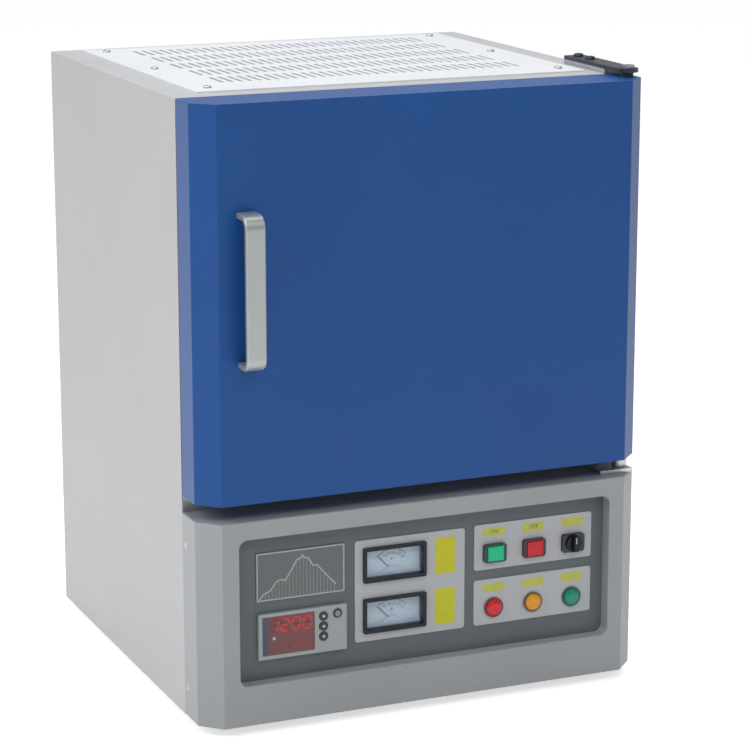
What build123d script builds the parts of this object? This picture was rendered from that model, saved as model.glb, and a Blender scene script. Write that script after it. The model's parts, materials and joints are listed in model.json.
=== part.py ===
from build123d import *
import os

# Bench-top box furnace (muffle furnace): a double-shell housing with a ceramic-fibre chamber and a swing door,
# standing on a control base with a recessed instrument panel.
# Frame: millimetres, +Z up, +X to the right of someone facing the door, front faces -Y.
# Origin: bottom centre of the whole furnace's bounding box, on the plane that the feet stand on.

os.makedirs("parts", exist_ok=True)

# ---------------------------------------------------------------- driving dimensions
# outside
width = 490.0                # housing, door and base alike
base_height = 214.0          # control base, from its floor to the deck
housing_height = 416.0       # upper housing, from the deck to its top
housing_depth = 414.4        # housing front frame to back panel
door_depth = 56.0
door_gap = 2.6               # closed door to housing front frame
door_sill = 18.0             # door's lower edge above the deck
foot_height = 10.0
bevel = 21.0                 # 45 degree bevel on the front vertical edges of door and base
edge_radius = 2.0            # outer bend radius of the sheet metal
sheet = 1.5                  # sheet metal
handle_reach = 27.0          # handle in front of the door
gland_reach = 24.0           # cable gland behind the back panel

# clearances
running_fit = 0.05           # radial, pins and shafts in their bores
part_gap = 0.3               # between pieces that move past each other
seat_gap = 0.1               # between pieces that are fitted into each other

# chamber and insulation
chamber_width = 200.0
chamber_height = 200.0
chamber_depth = 220.0        # behind the mouth ring
board = 50.0                 # hot-face ceramic-fibre boards
roof_board = 45.0
backup = 50.0                # backup insulation round the boards
rear_backup = 40.0
ring_depth = 60.0            # ceramic mouth ring
ring_show = 20.0             # width of ring that the front frame leaves bare
casing_sheet = 1.0
hearth_thickness = 8.0

# heating coils, lying in grooves of the side boards
coil_rows = 5
coil_pitch = 34.0
coil_radius = 4.5
coil_end = 12.0              # coil's end to the end of the chamber
groove = 11.0

# door
plug_reach = 35.0            # ceramic plug behind the housing front frame
plug_clearance = 4.0         # plug to mouth at the frame
plug_taper = 4.0             # further clearance at the plug's tip
pivot_inset = 11.0           # hinge pin to the door's right side
pivot_depth = 30.0           # hinge pin to the door's front face
pin_radius = 4.0
bush_wall = 2.0
bush_length = 30.0

# handle
handle_length = 154.0
handle_width = 20.0
handle_bar = 6.0
handle_inset = 50.0          # handle centre line to the door's left side
handle_height = 448.0        # handle centre above the base floor
handle_bend = 14.0

# vent cover
cover_side = 31.0            # cover edge to housing side
cover_front = 25.0
cover_back = 18.0
cover_rise = 1.5
slot_columns = 34
slot_rows = 5
slot_pitch = 10.0
slot_row_pitch = 61.0
slot_width = 4.0
slot_length = 40.0
slot_field_back = 68.0       # centre of the last slot row to the back panel

# instrument panel
recess_width = 414.0
recess_height = 153.0
recess_x = 1.0
recess_rise = 118.5          # centre of the recess above the base floor
recess_depth = 15.0
recess_radius = 9.0
panel_sheet = 2.0
plate = 1.2
plate_corner = 3.0
cutout_gap = 0.5             # round the meter and controller bodies
meter_plate_size = (123.0, 108.0)
meter_plate_at = (-14.9, 121.5)
switch_plate_size = (136.0, 49.0)
switch_plate_at = (125.5, 151.8)
lamp_plate_at = (125.5, 91.9)
controller_at = (-134.9, 88.0)
controller_size = (96.0, 48.0)
chart_at = (-135.6, 150.1)
chart_size = (96.0, 51.0)
controller_bezel = 4.5
controller_body = 78.0
controller_body_size = (91.0, 44.0)
window_size = (57.0, 41.0)
window_at = (-15.4, 0.3)
window_depth = 1.4
key_radius = 4.7
key_travel = 0.6
key_places = ((22.5, 14.3), (22.5, 3.6), (22.5, -7.1), (37.9, 15.5))
meter_size = (70.0, 37.0)
meter_x = -32.7
meter_heights = {"voltmeter": 148.8, "ammeter": 94.6}
meter_frame = 3.5
meter_border = 3.5
meter_body = 40.0
meter_body_size = (66.0, 33.0)
meter_cavity = 11.5
glass_depth = 5.6            # glass behind the front of its frame
glass_sheet = 1.2
pointer_length = 23.0
control_pitch = 45.4
switch_row = 145.1
lamp_row = 85.4
switch_frame = (25.6, 19.6)
switch_corner = 3.0
switch_rise = 4.5
cap_size = (17.8, 15.6)
cap_rise = 2.0
button_travel = 2.0
switch_body = 14.0           # square bodies of switches and lamps behind the panel
body_length = 28.0
lamp_radius = 10.7
lamp_rim = 2.0
lens_radius = 8.8
lens_rise = 3.0

# rear panels
gland_x = 165.0
gland_height = 45.0
cable_radius = 5.0
gland_hole_gap = 1.0
gland_hex_wall = 7.0         # round the cable, to the hexagon's corners
gland_cap_wall = 4.0
base_vent_x = -60.0
base_vent_slot = (96.0, 4.0)
base_vent_pitch = (110.0, 12.0)
base_vent_grid = (2, 7)
housing_vent_slot = (110.0, 4.0)
housing_vent_pitch = (150.0, 9.0)
housing_vent_grid = (2, 6)
housing_vent_drop = 55.0     # centre of the slots below the top

# feet
foot_radius = 17.0
foot_side = 55.0             # foot centre to the side, and to the front frame and the back panel
foot_front = 30.0
foot_back = 45.0

# ---------------------------------------------------------------- stations worked out from them
total_depth = handle_reach + door_depth + door_gap + housing_depth + gland_reach
y_front = handle_reach - total_depth / 2
y_door_back = y_front + door_depth
y_frame = y_door_back + door_gap
y_back = y_frame + housing_depth
y_panel = y_front + recess_depth
half = width / 2
z_base = foot_height
z_deck = z_base + base_height
z_door = z_deck + door_sill
z_top = z_deck + housing_height
z_mouth = (z_door + z_top) / 2
z_floor = z_mouth - chamber_height / 2
z_roof = z_mouth + chamber_height / 2
y_ring = y_frame + sheet
y_chamber = y_ring + ring_depth
y_chamber_back = y_chamber + chamber_depth
casing_half = chamber_width / 2 + board + backup + casing_sheet
z_casing = z_floor - board - backup - casing_sheet
z_casing_top = z_roof + roof_board + casing_sheet
y_casing_back = y_chamber_back + board + rear_backup + casing_sheet
pivot_x = half - pivot_inset
pivot_y = y_front + pivot_depth
bush_radius = pin_radius + running_fit + bush_wall
recess_z = z_base + recess_rise


def facing(y):
    """Drawing plane at depth y that faces the front: sketch x runs along X and sketch y along Z."""
    return Plane.XZ.offset(-y)


def bevelled_plan(y_rear):
    """Plan outline of the door and the base fascia: straight back, bevelled front corners."""
    return (
        (-half, y_rear),
        (-half, y_front + bevel),
        (-half + bevel, y_front),
        (half - bevel, y_front),
        (half, y_front + bevel),
        (half, y_rear),
    )


def panel_point(at):
    """A place on the instrument panel, given from the furnace's centre line and the base floor."""
    return (at[0], z_base + at[1])


def cutout(body_size):
    """Size of the rectangular hole that an instrument's body passes through."""
    return (body_size[0] + 2 * cutout_gap, body_size[1] + 2 * cutout_gap)


# ================================================================ control base
# Base fascia: bevelled front of the control base, with the flanged opening of the instrument recess.
with BuildPart() as base_fascia:
    with BuildSketch(Plane.XY.offset(z_base)):
        with BuildLine():
            Polyline(*bevelled_plan(y_frame), close=True)
        make_face()
    extrude(amount=base_height)
    fillet(base_fascia.edges().filter_by(Axis.Z).sort_by(Axis.Y)[:4], edge_radius)
    offset(amount=-sheet, openings=base_fascia.faces().sort_by(Axis.Y)[-1])
    with BuildSketch(facing(y_front)):
        with Locations((recess_x, recess_z)):
            RectangleRounded(recess_width, recess_height, recess_radius)
    extrude(amount=-recess_depth, mode=Mode.SUBTRACT)
    with BuildSketch(facing(y_front)):
        with Locations((recess_x, recess_z)):
            RectangleRounded(recess_width + 2 * sheet, recess_height + 2 * sheet, recess_radius + sheet)
            RectangleRounded(recess_width, recess_height, recess_radius, mode=Mode.SUBTRACT)
    extrude(amount=-recess_depth)
base_fascia.part.label = "base_fascia"
export_step(base_fascia.part, "parts/base_fascia.step")

# Side panels of the base: plain sheets with a return flange at top and bottom.
flange = 14.0
with BuildPart() as base_sides:
    with BuildSketch(facing(y_frame)):
        for side in (-1, 1):
            with BuildLine():
                Polyline(
                    (side * half, z_base),
                    (side * half, z_deck),
                    (side * (half - flange), z_deck),
                    (side * (half - flange), z_deck - sheet),
                    (side * (half - sheet), z_deck - sheet),
                    (side * (half - sheet), z_base + sheet),
                    (side * (half - flange), z_base + sheet),
                    (side * (half - flange), z_base),
                    close=True,
                )
            make_face()
    extrude(amount=-housing_depth)
base_sides.part.label = "base_sides"
export_step(base_sides.part, "parts/base_sides.step")

# Floor and deck plates: the floor stands on the feet, the deck carries the housing.
foot_x = half - foot_side
foot_ys = (y_frame + foot_front, y_back - foot_back)
foot_points = [(side * foot_x, y) for side in (-1, 1) for y in foot_ys]
with BuildPart() as base_plates:
    with BuildSketch(Plane.XY.offset(z_base + sheet)):
        with Locations((0, (y_frame + y_back) / 2)):
            Rectangle(width - 2 * sheet, housing_depth)
    extrude(amount=sheet)
    with BuildSketch(Plane.XY.offset(z_deck - 2 * sheet)):
        with Locations((0, (y_frame + y_back) / 2)):
            Rectangle(width - 2 * sheet, housing_depth)
    extrude(amount=sheet)
base_plates.part.label = "base_plates"
export_step(base_plates.part, "parts/base_plates.step")

# Back panel of the base: cable gland hole and a field of vent slots.
z_gland = z_base + gland_height
with BuildPart() as base_back:
    with BuildSketch(facing(y_back)):
        with Locations((0, (z_base + z_deck) / 2)):
            Rectangle(width - 2 * sheet, base_height - 6 * sheet)
        with Locations((gland_x, z_gland)):
            Circle(cable_radius + gland_hole_gap, mode=Mode.SUBTRACT)
        with Locations((base_vent_x, (z_base + z_deck) / 2)):
            with GridLocations(*base_vent_pitch, *base_vent_grid):
                Rectangle(*base_vent_slot, mode=Mode.SUBTRACT)
    extrude(amount=sheet)
base_back.part.label = "base_back"
export_step(base_back.part, "parts/base_back.step")

# Rubber feet under the floor plate.
with BuildPart() as feet:
    with BuildSketch():
        with Locations(*foot_points):
            Circle(foot_radius)
    extrude(amount=z_base + sheet)
feet.part.label = "feet"
export_step(feet.part, "parts/feet.step")

# ---------------------------------------------------------------- instrument panel
switch_xs = [switch_plate_at[0] + (i - 1) * control_pitch for i in range(3)]
switch_points = [panel_point((x, switch_row)) for x in switch_xs]
lamp_points = [panel_point((x, lamp_row)) for x in switch_xs]
meter_points = {name: panel_point((meter_x, rise)) for name, rise in meter_heights.items()}
y_plate = y_panel - plate

# Backing panel behind the recess, cut out for the instruments.
panel_border = 7.0
with BuildPart() as control_panel:
    with BuildSketch(facing(y_panel)):
        with Locations((recess_x, recess_z)):
            Rectangle(recess_width + 2 * panel_border, recess_height + 2 * panel_border)
        with Locations(panel_point(controller_at)):
            Rectangle(*cutout(controller_body_size), mode=Mode.SUBTRACT)
        with Locations(*meter_points.values()):
            Rectangle(*cutout(meter_body_size), mode=Mode.SUBTRACT)
        with Locations(*switch_points, *lamp_points):
            Rectangle(switch_body + 2 * seat_gap, switch_body + 2 * seat_gap, mode=Mode.SUBTRACT)
    extrude(amount=-panel_sheet)
control_panel.part.label = "control_panel"
export_step(control_panel.part, "parts/control_panel.step")

# Plates on its face: chart, meters, switches and lamps.
with BuildPart() as panel_plates:
    with BuildSketch(facing(y_panel)):
        with Locations(panel_point(chart_at)):
            Rectangle(*chart_size)
        with Locations(panel_point(meter_plate_at)):
            RectangleRounded(*meter_plate_size, plate_corner)
        with Locations(*meter_points.values()):
            Rectangle(*cutout(meter_body_size), mode=Mode.SUBTRACT)
        with Locations(panel_point(switch_plate_at), panel_point(lamp_plate_at)):
            RectangleRounded(*switch_plate_size, plate_corner)
        with Locations(*switch_points, *lamp_points):
            Rectangle(switch_body + 2 * seat_gap, switch_body + 2 * seat_gap, mode=Mode.SUBTRACT)
    extrude(amount=plate)
panel_plates.part.label = "panel_plates"
export_step(panel_plates.part, "parts/panel_plates.step")

# Temperature controller: bezel with a window recess and four blind key wells, body behind the panel.
controller_x, controller_z = panel_point(controller_at)
key_points = [(controller_x + dx, controller_z + dz) for dx, dz in key_places]
y_bezel = y_panel - controller_bezel
key_rise = 1.0
key_length = 5.0
key_well = key_length - key_rise + key_travel + part_gap
with BuildPart() as controller_case:
    with BuildSketch(facing(y_panel)):
        with Locations((controller_x, controller_z)):
            Rectangle(*controller_size)
    extrude(amount=controller_bezel)
    with BuildSketch(facing(y_panel)):
        with Locations((controller_x, controller_z)):
            Rectangle(*controller_body_size)
    extrude(amount=-controller_body)
    with BuildSketch(facing(y_bezel)):
        with Locations((controller_x + window_at[0], controller_z + window_at[1])):
            Rectangle(*window_size)
    extrude(amount=-window_depth, mode=Mode.SUBTRACT)
    with BuildSketch(facing(y_bezel)):
        with Locations(*key_points):
            Circle(key_radius + part_gap)
    extrude(amount=-key_well, mode=Mode.SUBTRACT)
controller_case.part.label = "controller_case"
export_step(controller_case.part, "parts/controller_case.step")

with BuildPart() as controller_window:
    with BuildSketch(facing(y_bezel + window_depth)):
        with Locations((controller_x + window_at[0], controller_z + window_at[1])):
            Rectangle(window_size[0] - 2 * seat_gap, window_size[1] - 2 * seat_gap)
    extrude(amount=window_depth - 0.2)
controller_window.part.label = "controller_window"
export_step(controller_window.part, "parts/controller_window.step")

for number, point in enumerate(key_points, start=1):
    with BuildPart() as controller_key:
        with BuildSketch(facing(y_bezel - key_rise)):
            with Locations(point):
                Circle(key_radius)
        extrude(amount=-key_length)
    controller_key.part.label = f"controller_key_{number}"
    export_step(controller_key.part, f"parts/controller_key_{number}.step")

# Panel meters: framed cases, dials with their pivot pins, glasses and pointers.
glass_size = (meter_size[0] - 2 * meter_border, meter_size[1] - 2 * meter_border)
y_meter = y_plate - meter_frame
y_dial = y_meter + meter_cavity
dial_sheet = 0.8
pointer_drop = 10.0
pointer_sheet = 0.7
hub = 3.0
pivot_pin = 0.9
meter_centres = list(meter_points.values())
with BuildPart() as meter_cases:
    with BuildSketch(facing(y_plate)):
        with Locations(*meter_centres):
            RectangleRounded(*meter_size, 1.5)
    extrude(amount=meter_frame)
    with BuildSketch(facing(y_plate)):
        with Locations(*meter_centres):
            Rectangle(*meter_body_size)
    extrude(amount=-meter_body)
    with BuildSketch(facing(y_meter)):
        with Locations(*meter_centres):
            Rectangle(*glass_size)
    extrude(amount=-meter_cavity, mode=Mode.SUBTRACT)
meter_cases.part.label = "meter_cases"
export_step(meter_cases.part, "parts/meter_cases.step")

with BuildPart() as meter_dials:
    with BuildSketch(facing(y_dial)):
        with Locations(*meter_centres):
            Rectangle(glass_size[0] - 2 * seat_gap, glass_size[1] - 2 * seat_gap)
    extrude(amount=dial_sheet)
    with BuildSketch(facing(y_dial - dial_sheet)):
        with Locations(*[(x, z - pointer_drop) for x, z in meter_centres]):
            Circle(pivot_pin)
    extrude(amount=2 * part_gap + pointer_sheet)
meter_dials.part.label = "meter_dials"
export_step(meter_dials.part, "parts/meter_dials.step")

with BuildPart() as meter_glasses:
    with BuildSketch(facing(y_meter + glass_depth + glass_sheet)):
        with Locations(*meter_centres):
            Rectangle(glass_size[0] - 2 * seat_gap, glass_size[1] - 2 * seat_gap)
    extrude(amount=glass_sheet)
meter_glasses.part.label = "meter_glasses"
export_step(meter_glasses.part, "parts/meter_glasses.step")

# Pointers: a hub on the dial's pin and a needle, at rest to the upper left.
for name, (meter_cx, meter_cz) in meter_points.items():
    with BuildPart() as meter_pointer:
        with BuildSketch(facing(y_dial - dial_sheet - part_gap)):
            with Locations((meter_cx, meter_cz - pointer_drop)):
                RegularPolygon(hub, 12)
                with Locations(Rotation(0, 0, 45)):
                    with Locations((0, pointer_length / 2)):
                        Rectangle(0.9, pointer_length)
                Circle(pivot_pin + running_fit, mode=Mode.SUBTRACT)
        extrude(amount=pointer_sheet)
    meter_pointer.part.label = f"{name}_pointer"
    export_step(meter_pointer.part, f"parts/{name}_pointer.step")

# Push buttons and selector: black frames with bodies through the panel.
y_switch = y_plate - switch_rise
well_floor = 1.0
stem_radius = 4.0
stem_length = 10.0
with BuildPart() as switch_frames:
    with BuildSketch(facing(y_plate)):
        with Locations(*switch_points):
            RectangleRounded(*switch_frame, switch_corner)
    extrude(amount=switch_rise)
    with BuildSketch(facing(y_plate)):
        with Locations(*switch_points):
            Rectangle(switch_body, switch_body)
    extrude(amount=-body_length)
    with BuildSketch(facing(y_switch)):
        with Locations(*switch_points[:2]):
            Rectangle(cap_size[0] + 2 * part_gap, cap_size[1] + 2 * part_gap)
    extrude(amount=well_floor - switch_rise, mode=Mode.SUBTRACT)
    with BuildSketch(facing(y_switch)):
        with Locations(switch_points[2]):
            Circle(stem_radius + running_fit)
    extrude(amount=-stem_length - 2 * part_gap, mode=Mode.SUBTRACT)
switch_frames.part.label = "switch_frames"
export_step(switch_frames.part, "parts/switch_frames.step")

cap_length = cap_rise + switch_rise - well_floor - button_travel - part_gap
for name, point in zip(("start_button", "stop_button"), switch_points):
    with BuildPart() as button_cap:
        with BuildSketch(facing(y_switch - cap_rise)):
            with Locations(point):
                Rectangle(*cap_size)
        extrude(amount=-cap_length)
        chamfer(button_cap.faces().sort_by(Axis.Y)[0].edges(), 0.8)
    button_cap.part.label = name
    export_step(button_cap.part, f"parts/{name}.step")

# Selector knob: round flange with a raised grip bar, on a stem in the frame's bore.
selector_radius = 9.0
selector_flange = 2.0
grip_size = (5.0, 16.0)
grip_rise = 4.6
with BuildPart() as selector_knob:
    with BuildSketch(facing(y_switch - part_gap)):
        with Locations(switch_points[2]):
            Circle(selector_radius)
    extrude(amount=selector_flange)
    with BuildSketch(facing(y_switch - part_gap - selector_flange)):
        with Locations(switch_points[2]):
            Rectangle(*grip_size)
    extrude(amount=grip_rise)
    with BuildSketch(facing(y_switch - part_gap)):
        with Locations(switch_points[2]):
            Circle(stem_radius)
    extrude(amount=-stem_length)
selector_knob.part.label = "selector_knob"
export_step(selector_knob.part, "parts/selector_knob.step")

# Pilot lamps: black bezels and bevelled lenses.
y_lamp = y_plate - lamp_rim
with BuildPart() as lamp_bezels:
    with BuildSketch(facing(y_plate)):
        with Locations(*lamp_points):
            Circle(lamp_radius)
    extrude(amount=lamp_rim)
    with BuildSketch(facing(y_plate)):
        with Locations(*lamp_points):
            Rectangle(switch_body, switch_body)
    extrude(amount=-body_length)
lamp_bezels.part.label = "lamp_bezels"
export_step(lamp_bezels.part, "parts/lamp_bezels.step")

with BuildPart() as lamp_lenses:
    with BuildSketch(facing(y_lamp)):
        with Locations(*lamp_points):
            Circle(lens_radius)
    extrude(amount=lens_rise)
    chamfer(lamp_lenses.faces().group_by(Axis.Y)[0].edges(), lens_rise * 0.4, lens_rise * 0.6)
lamp_lenses.part.label = "lamp_lenses"
export_step(lamp_lenses.part, "parts/lamp_lenses.step")

# ---------------------------------------------------------------- inside and behind the base
# Contactor that the start and stop buttons work.
z_pan = z_base + 2 * sheet
unit_y = (y_frame + y_back) / 2
contactor_x = -70.0
contactor_size = (56.0, 84.0, 62.0)
contactor_head = (56.0, 50.0, 26.0)
with BuildPart() as contactor:
    with BuildSketch(Plane.XY.offset(z_pan)):
        with Locations((contactor_x, unit_y)):
            Rectangle(*contactor_size[:2])
    extrude(amount=contactor_size[2])
    with BuildSketch(Plane.XY.offset(z_pan + contactor_size[2])):
        with Locations((contactor_x, unit_y)):
            Rectangle(*contactor_head[:2])
    extrude(amount=contactor_head[2])
contactor.part.label = "contactor"
export_step(contactor.part, "parts/contactor.step")

# Power module on a finned heat sink.
sink_x, sink_y = 90.0, unit_y
sink_size = (100.0, 120.0, 60.0)
fin_count = 9
fin = 3.0
sink_base = 10.0
module_size = (34.0, 94.0, 22.0)
terminal_size = (18.0, 14.0, 6.0)
terminal_pitch = 28.0
with BuildPart() as power_controller:
    with BuildSketch(facing(sink_y - sink_size[1] / 2)):
        with Locations((sink_x, z_pan + sink_size[2] - sink_base / 2)):
            Rectangle(sink_size[0], sink_base)
        with Locations((sink_x, z_pan + (sink_size[2] - sink_base) / 2)):
            with GridLocations((sink_size[0] - fin) / (fin_count - 1), 0, fin_count, 1):
                Rectangle(fin, sink_size[2] - sink_base)
    extrude(amount=-sink_size[1])
    with BuildSketch(Plane.XY.offset(z_pan + sink_size[2])):
        with Locations((sink_x, sink_y)):
            Rectangle(*module_size[:2])
    extrude(amount=module_size[2])
    with BuildSketch(Plane.XY.offset(z_pan + sink_size[2] + module_size[2])):
        with Locations((sink_x, sink_y)):
            with GridLocations(0, terminal_pitch, 1, 3):
                Rectangle(*terminal_size[:2])
    extrude(amount=terminal_size[2])
power_controller.part.label = "power_controller"
export_step(power_controller.part, "parts/power_controller.step")

# Terminal block beside the gland: a base with walls between its five ways.
block_at = (gland_x, y_back - 75.0)
block_base = (64.0, 30.0, 16.0)
block_wall = (2.0, 30.0, 8.0)
block_pitch = 14.0
with BuildPart() as terminal_block:
    with BuildSketch(Plane.XY.offset(z_pan)):
        with Locations(block_at):
            Rectangle(*block_base[:2])
    extrude(amount=block_base[2])
    with BuildSketch(Plane.XY.offset(z_pan + block_base[2])):
        with Locations(block_at):
            with GridLocations(block_pitch, 0, 5, 1):
                Rectangle(*block_wall[:2])
    extrude(amount=block_wall[2])
terminal_block.part.label = "terminal_block"
export_step(terminal_block.part, "parts/terminal_block.step")

# Cable gland: hexagon and cap, bored for the mains cable.
cap_reach = 13.0
with BuildPart() as cable_gland:
    with BuildSketch(facing(y_back)):
        with Locations((gland_x, z_gland)):
            RegularPolygon(cable_radius + gland_hex_wall, 6)
    extrude(amount=cap_reach - gland_reach)
    with BuildSketch(facing(y_back + gland_reach - cap_reach)):
        with Locations((gland_x, z_gland)):
            Circle(cable_radius + gland_cap_wall)
    extrude(amount=-cap_reach)
    with BuildSketch(facing(y_back)):
        with Locations((gland_x, z_gland)):
            Circle(cable_radius)
    extrude(amount=-gland_reach, mode=Mode.SUBTRACT)
cable_gland.part.label = "cable_gland"
export_step(cable_gland.part, "parts/cable_gland.step")

# ================================================================ housing
# Outer shell: left side, top and right side in one folded sheet, open under the vent cover.
cover_width = width - 2 * cover_side
cover_length = housing_depth - cover_front - cover_back
cover_y = y_frame + cover_front + cover_length / 2
cover_lap = 28.0
with BuildPart() as housing_shell:
    with BuildSketch(facing(y_frame)):
        with Locations((0, (z_deck + z_top) / 2)):
            Rectangle(width, housing_height)
    extrude(amount=-housing_depth)
    fillet(housing_shell.edges().filter_by(Axis.Y).group_by(Axis.Z)[-1], edge_radius)
    with BuildSketch(facing(y_frame)):
        with Locations((0, (z_deck + z_top) / 2 - sheet)):
            Rectangle(width - 2 * sheet, housing_height)
    extrude(amount=-housing_depth, mode=Mode.SUBTRACT)
    with BuildSketch(Plane.XY.offset(z_top)):
        with Locations((0, cover_y)):
            Rectangle(cover_width - 2 * cover_lap, cover_length - 2 * cover_lap)
    extrude(amount=-sheet, mode=Mode.SUBTRACT)
housing_shell.part.label = "housing_shell"
export_step(housing_shell.part, "parts/housing_shell.step")

# Vent cover: slotted sheet over the opening.
slot_y = y_back - slot_field_back - (slot_rows - 1) * slot_row_pitch / 2
with BuildPart() as vent_cover:
    with BuildSketch(Plane.XY.offset(z_top)):
        with Locations((0, cover_y)):
            Rectangle(cover_width, cover_length)
        with Locations((0, slot_y)):
            with GridLocations(slot_pitch, slot_row_pitch, slot_columns, slot_rows):
                Rectangle(slot_width, slot_length, mode=Mode.SUBTRACT)
    extrude(amount=cover_rise)
vent_cover.part.label = "vent_cover"
export_step(vent_cover.part, "parts/vent_cover.step")

# Back panel of the housing, with two fields of vent slots near its top.
with BuildPart() as housing_back:
    with BuildSketch(facing(y_back)):
        with Locations((0, (z_deck + z_top - sheet) / 2)):
            Rectangle(width - 2 * sheet, housing_height - sheet)
        with Locations((0, z_top - housing_vent_drop)):
            with GridLocations(*housing_vent_pitch, *housing_vent_grid):
                Rectangle(*housing_vent_slot, mode=Mode.SUBTRACT)
    extrude(amount=sheet)
housing_back.part.label = "housing_back"
export_step(housing_back.part, "parts/housing_back.step")

# Front frame: faces the closed door, leaves the rim of the ceramic mouth bare.
frame_opening = (chamber_width + 2 * ring_show, chamber_height + 2 * ring_show)
magnet_size = (12.0, 44.0)
magnet_depth = 12.0
magnet_side = 30.0
magnet_x = -half + magnet_side
with BuildPart() as front_frame:
    with BuildSketch(facing(y_frame)):
        with Locations((0, (z_deck + z_top - sheet) / 2)):
            Rectangle(width - 2 * sheet, housing_height - sheet)
        with Locations((0, z_mouth)):
            Rectangle(*frame_opening, mode=Mode.SUBTRACT)
        with Locations((magnet_x, z_mouth)):
            Rectangle(magnet_size[0] + 2 * seat_gap, magnet_size[1] + 2 * seat_gap, mode=Mode.SUBTRACT)
    extrude(amount=-sheet)
front_frame.part.label = "front_frame"
export_step(front_frame.part, "parts/front_frame.step")

# Inner casing of the double shell: a sheet box round the insulation, open at the front, on two box stands.
casing_height = z_casing_top - z_casing
thermocouple_radius = 4.0
thermocouple_z = z_mouth + 30.0
stand_height = z_casing - z_deck + sheet
stand_width = 300.0
stand_wall = (10.0, 3.0)     # at its sides, and at its top and bottom
stand_depth = 30.0
stand_front_inset = 58.5     # from the casing's open front to the front stand
stand_back_inset = 18.1      # from the back stand to the casing's back
with BuildPart() as inner_casing:
    for y in (y_ring + stand_front_inset, y_casing_back - stand_back_inset - stand_depth):
        with BuildSketch(facing(y)):
            with Locations((0, z_deck - sheet + stand_height / 2)):
                Rectangle(stand_width, stand_height)
                Rectangle(stand_width - 2 * stand_wall[0], stand_height - 2 * stand_wall[1], mode=Mode.SUBTRACT)
        extrude(amount=-stand_depth)
    with BuildSketch(facing(y_ring)):
        with Locations((0, z_casing + casing_height / 2)):
            Rectangle(2 * casing_half, casing_height)
    extrude(amount=-(y_casing_back - y_ring))
    with BuildSketch(facing(y_ring)):
        with Locations((0, z_casing + casing_height / 2)):
            Rectangle(2 * (casing_half - casing_sheet), casing_height - 2 * casing_sheet)
    extrude(amount=-(y_casing_back - y_ring - casing_sheet), mode=Mode.SUBTRACT)
    with BuildSketch(facing(y_casing_back)):
        with Locations((0, thermocouple_z)):
            Circle(thermocouple_radius + seat_gap)
    extrude(amount=casing_sheet, mode=Mode.SUBTRACT)
inner_casing.part.label = "inner_casing"
export_step(inner_casing.part, "parts/inner_casing.step")

# Backup insulation: fills the casing round the hot-face boards.
outer_half = casing_half - casing_sheet
y_fill_back = y_casing_back - casing_sheet
with BuildPart() as backup_insulation:
    with BuildSketch(facing(y_chamber)):
        with Locations((0, (z_casing + casing_sheet + z_roof + roof_board) / 2)):
            Rectangle(2 * outer_half, z_roof + roof_board - z_casing - casing_sheet)
    extrude(amount=-(y_fill_back - y_chamber))
    with BuildSketch(facing(y_chamber)):
        with Locations((0, (z_floor - board + z_roof + roof_board) / 2)):
            Rectangle(chamber_width + 2 * board, z_roof + roof_board - z_floor + board)
    extrude(amount=-(chamber_depth + board), mode=Mode.SUBTRACT)
    with BuildSketch(facing(y_fill_back)):
        with Locations((0, thermocouple_z)):
            Circle(thermocouple_radius + seat_gap)
    extrude(amount=rear_backup, mode=Mode.SUBTRACT)
backup_insulation.part.label = "backup_insulation"
export_step(backup_insulation.part, "parts/backup_insulation.step")

# Ceramic mouth ring in front of the boards.
with BuildPart() as mouth_ring:
    with BuildSketch(facing(y_ring)):
        with Locations((0, (z_casing + casing_sheet + z_roof + roof_board) / 2)):
            Rectangle(2 * outer_half, z_roof + roof_board - z_casing - casing_sheet)
        with Locations((0, z_mouth)):
            Rectangle(chamber_width, chamber_height, mode=Mode.SUBTRACT)
    extrude(amount=-ring_depth)
mouth_ring.part.label = "mouth_ring"
export_step(mouth_ring.part, "parts/mouth_ring.step")

# Hot-face boards: floor, roof, back, and two sides with a groove for each coil.
run = chamber_depth + board
with BuildPart() as floor_board:
    with BuildSketch(facing(y_chamber)):
        with Locations((0, z_floor - board / 2)):
            Rectangle(chamber_width + 2 * board, board)
    extrude(amount=-run)
floor_board.part.label = "floor_board"
export_step(floor_board.part, "parts/floor_board.step")

with BuildPart() as roof_slab:
    with BuildSketch(facing(y_chamber)):
        with Locations((0, z_roof + roof_board / 2)):
            Rectangle(chamber_width + 2 * board, roof_board)
    extrude(amount=-run)
roof_slab.part.label = "roof_board"
export_step(roof_slab.part, "parts/roof_board.step")

with BuildPart() as side_boards:
    with BuildSketch(facing(y_chamber)):
        with Locations((0, z_mouth)):
            with GridLocations(chamber_width + board, 0, 2, 1):
                Rectangle(board, chamber_height)
    extrude(amount=-run)
    with BuildSketch(facing(y_chamber + coil_end / 2)):
        with Locations((0, z_mouth)):
            with GridLocations(chamber_width + groove, coil_pitch, 2, coil_rows):
                Rectangle(groove, groove)
    extrude(amount=coil_end - chamber_depth, mode=Mode.SUBTRACT)
side_boards.part.label = "side_boards"
export_step(side_boards.part, "parts/side_boards.step")

with BuildPart() as back_board:
    with BuildSketch(facing(y_chamber_back)):
        with Locations((0, z_mouth)):
            Rectangle(chamber_width, chamber_height)
        with Locations((0, thermocouple_z)):
            Circle(thermocouple_radius + seat_gap, mode=Mode.SUBTRACT)
    extrude(amount=-board)
back_board.part.label = "back_board"
export_step(back_board.part, "parts/back_board.step")

hearth_inset = (30.0, 10.0)  # hearth plate to the chamber's sides, and to its front and back
with BuildPart() as hearth_plate:
    with BuildSketch(Plane.XY.offset(z_floor)):
        with Locations((0, (y_chamber + y_chamber_back) / 2)):
            Rectangle(chamber_width - 2 * hearth_inset[0], chamber_depth - 2 * hearth_inset[1])
    extrude(amount=hearth_thickness)
hearth_plate.part.label = "hearth_plate"
export_step(hearth_plate.part, "parts/hearth_plate.step")

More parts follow.
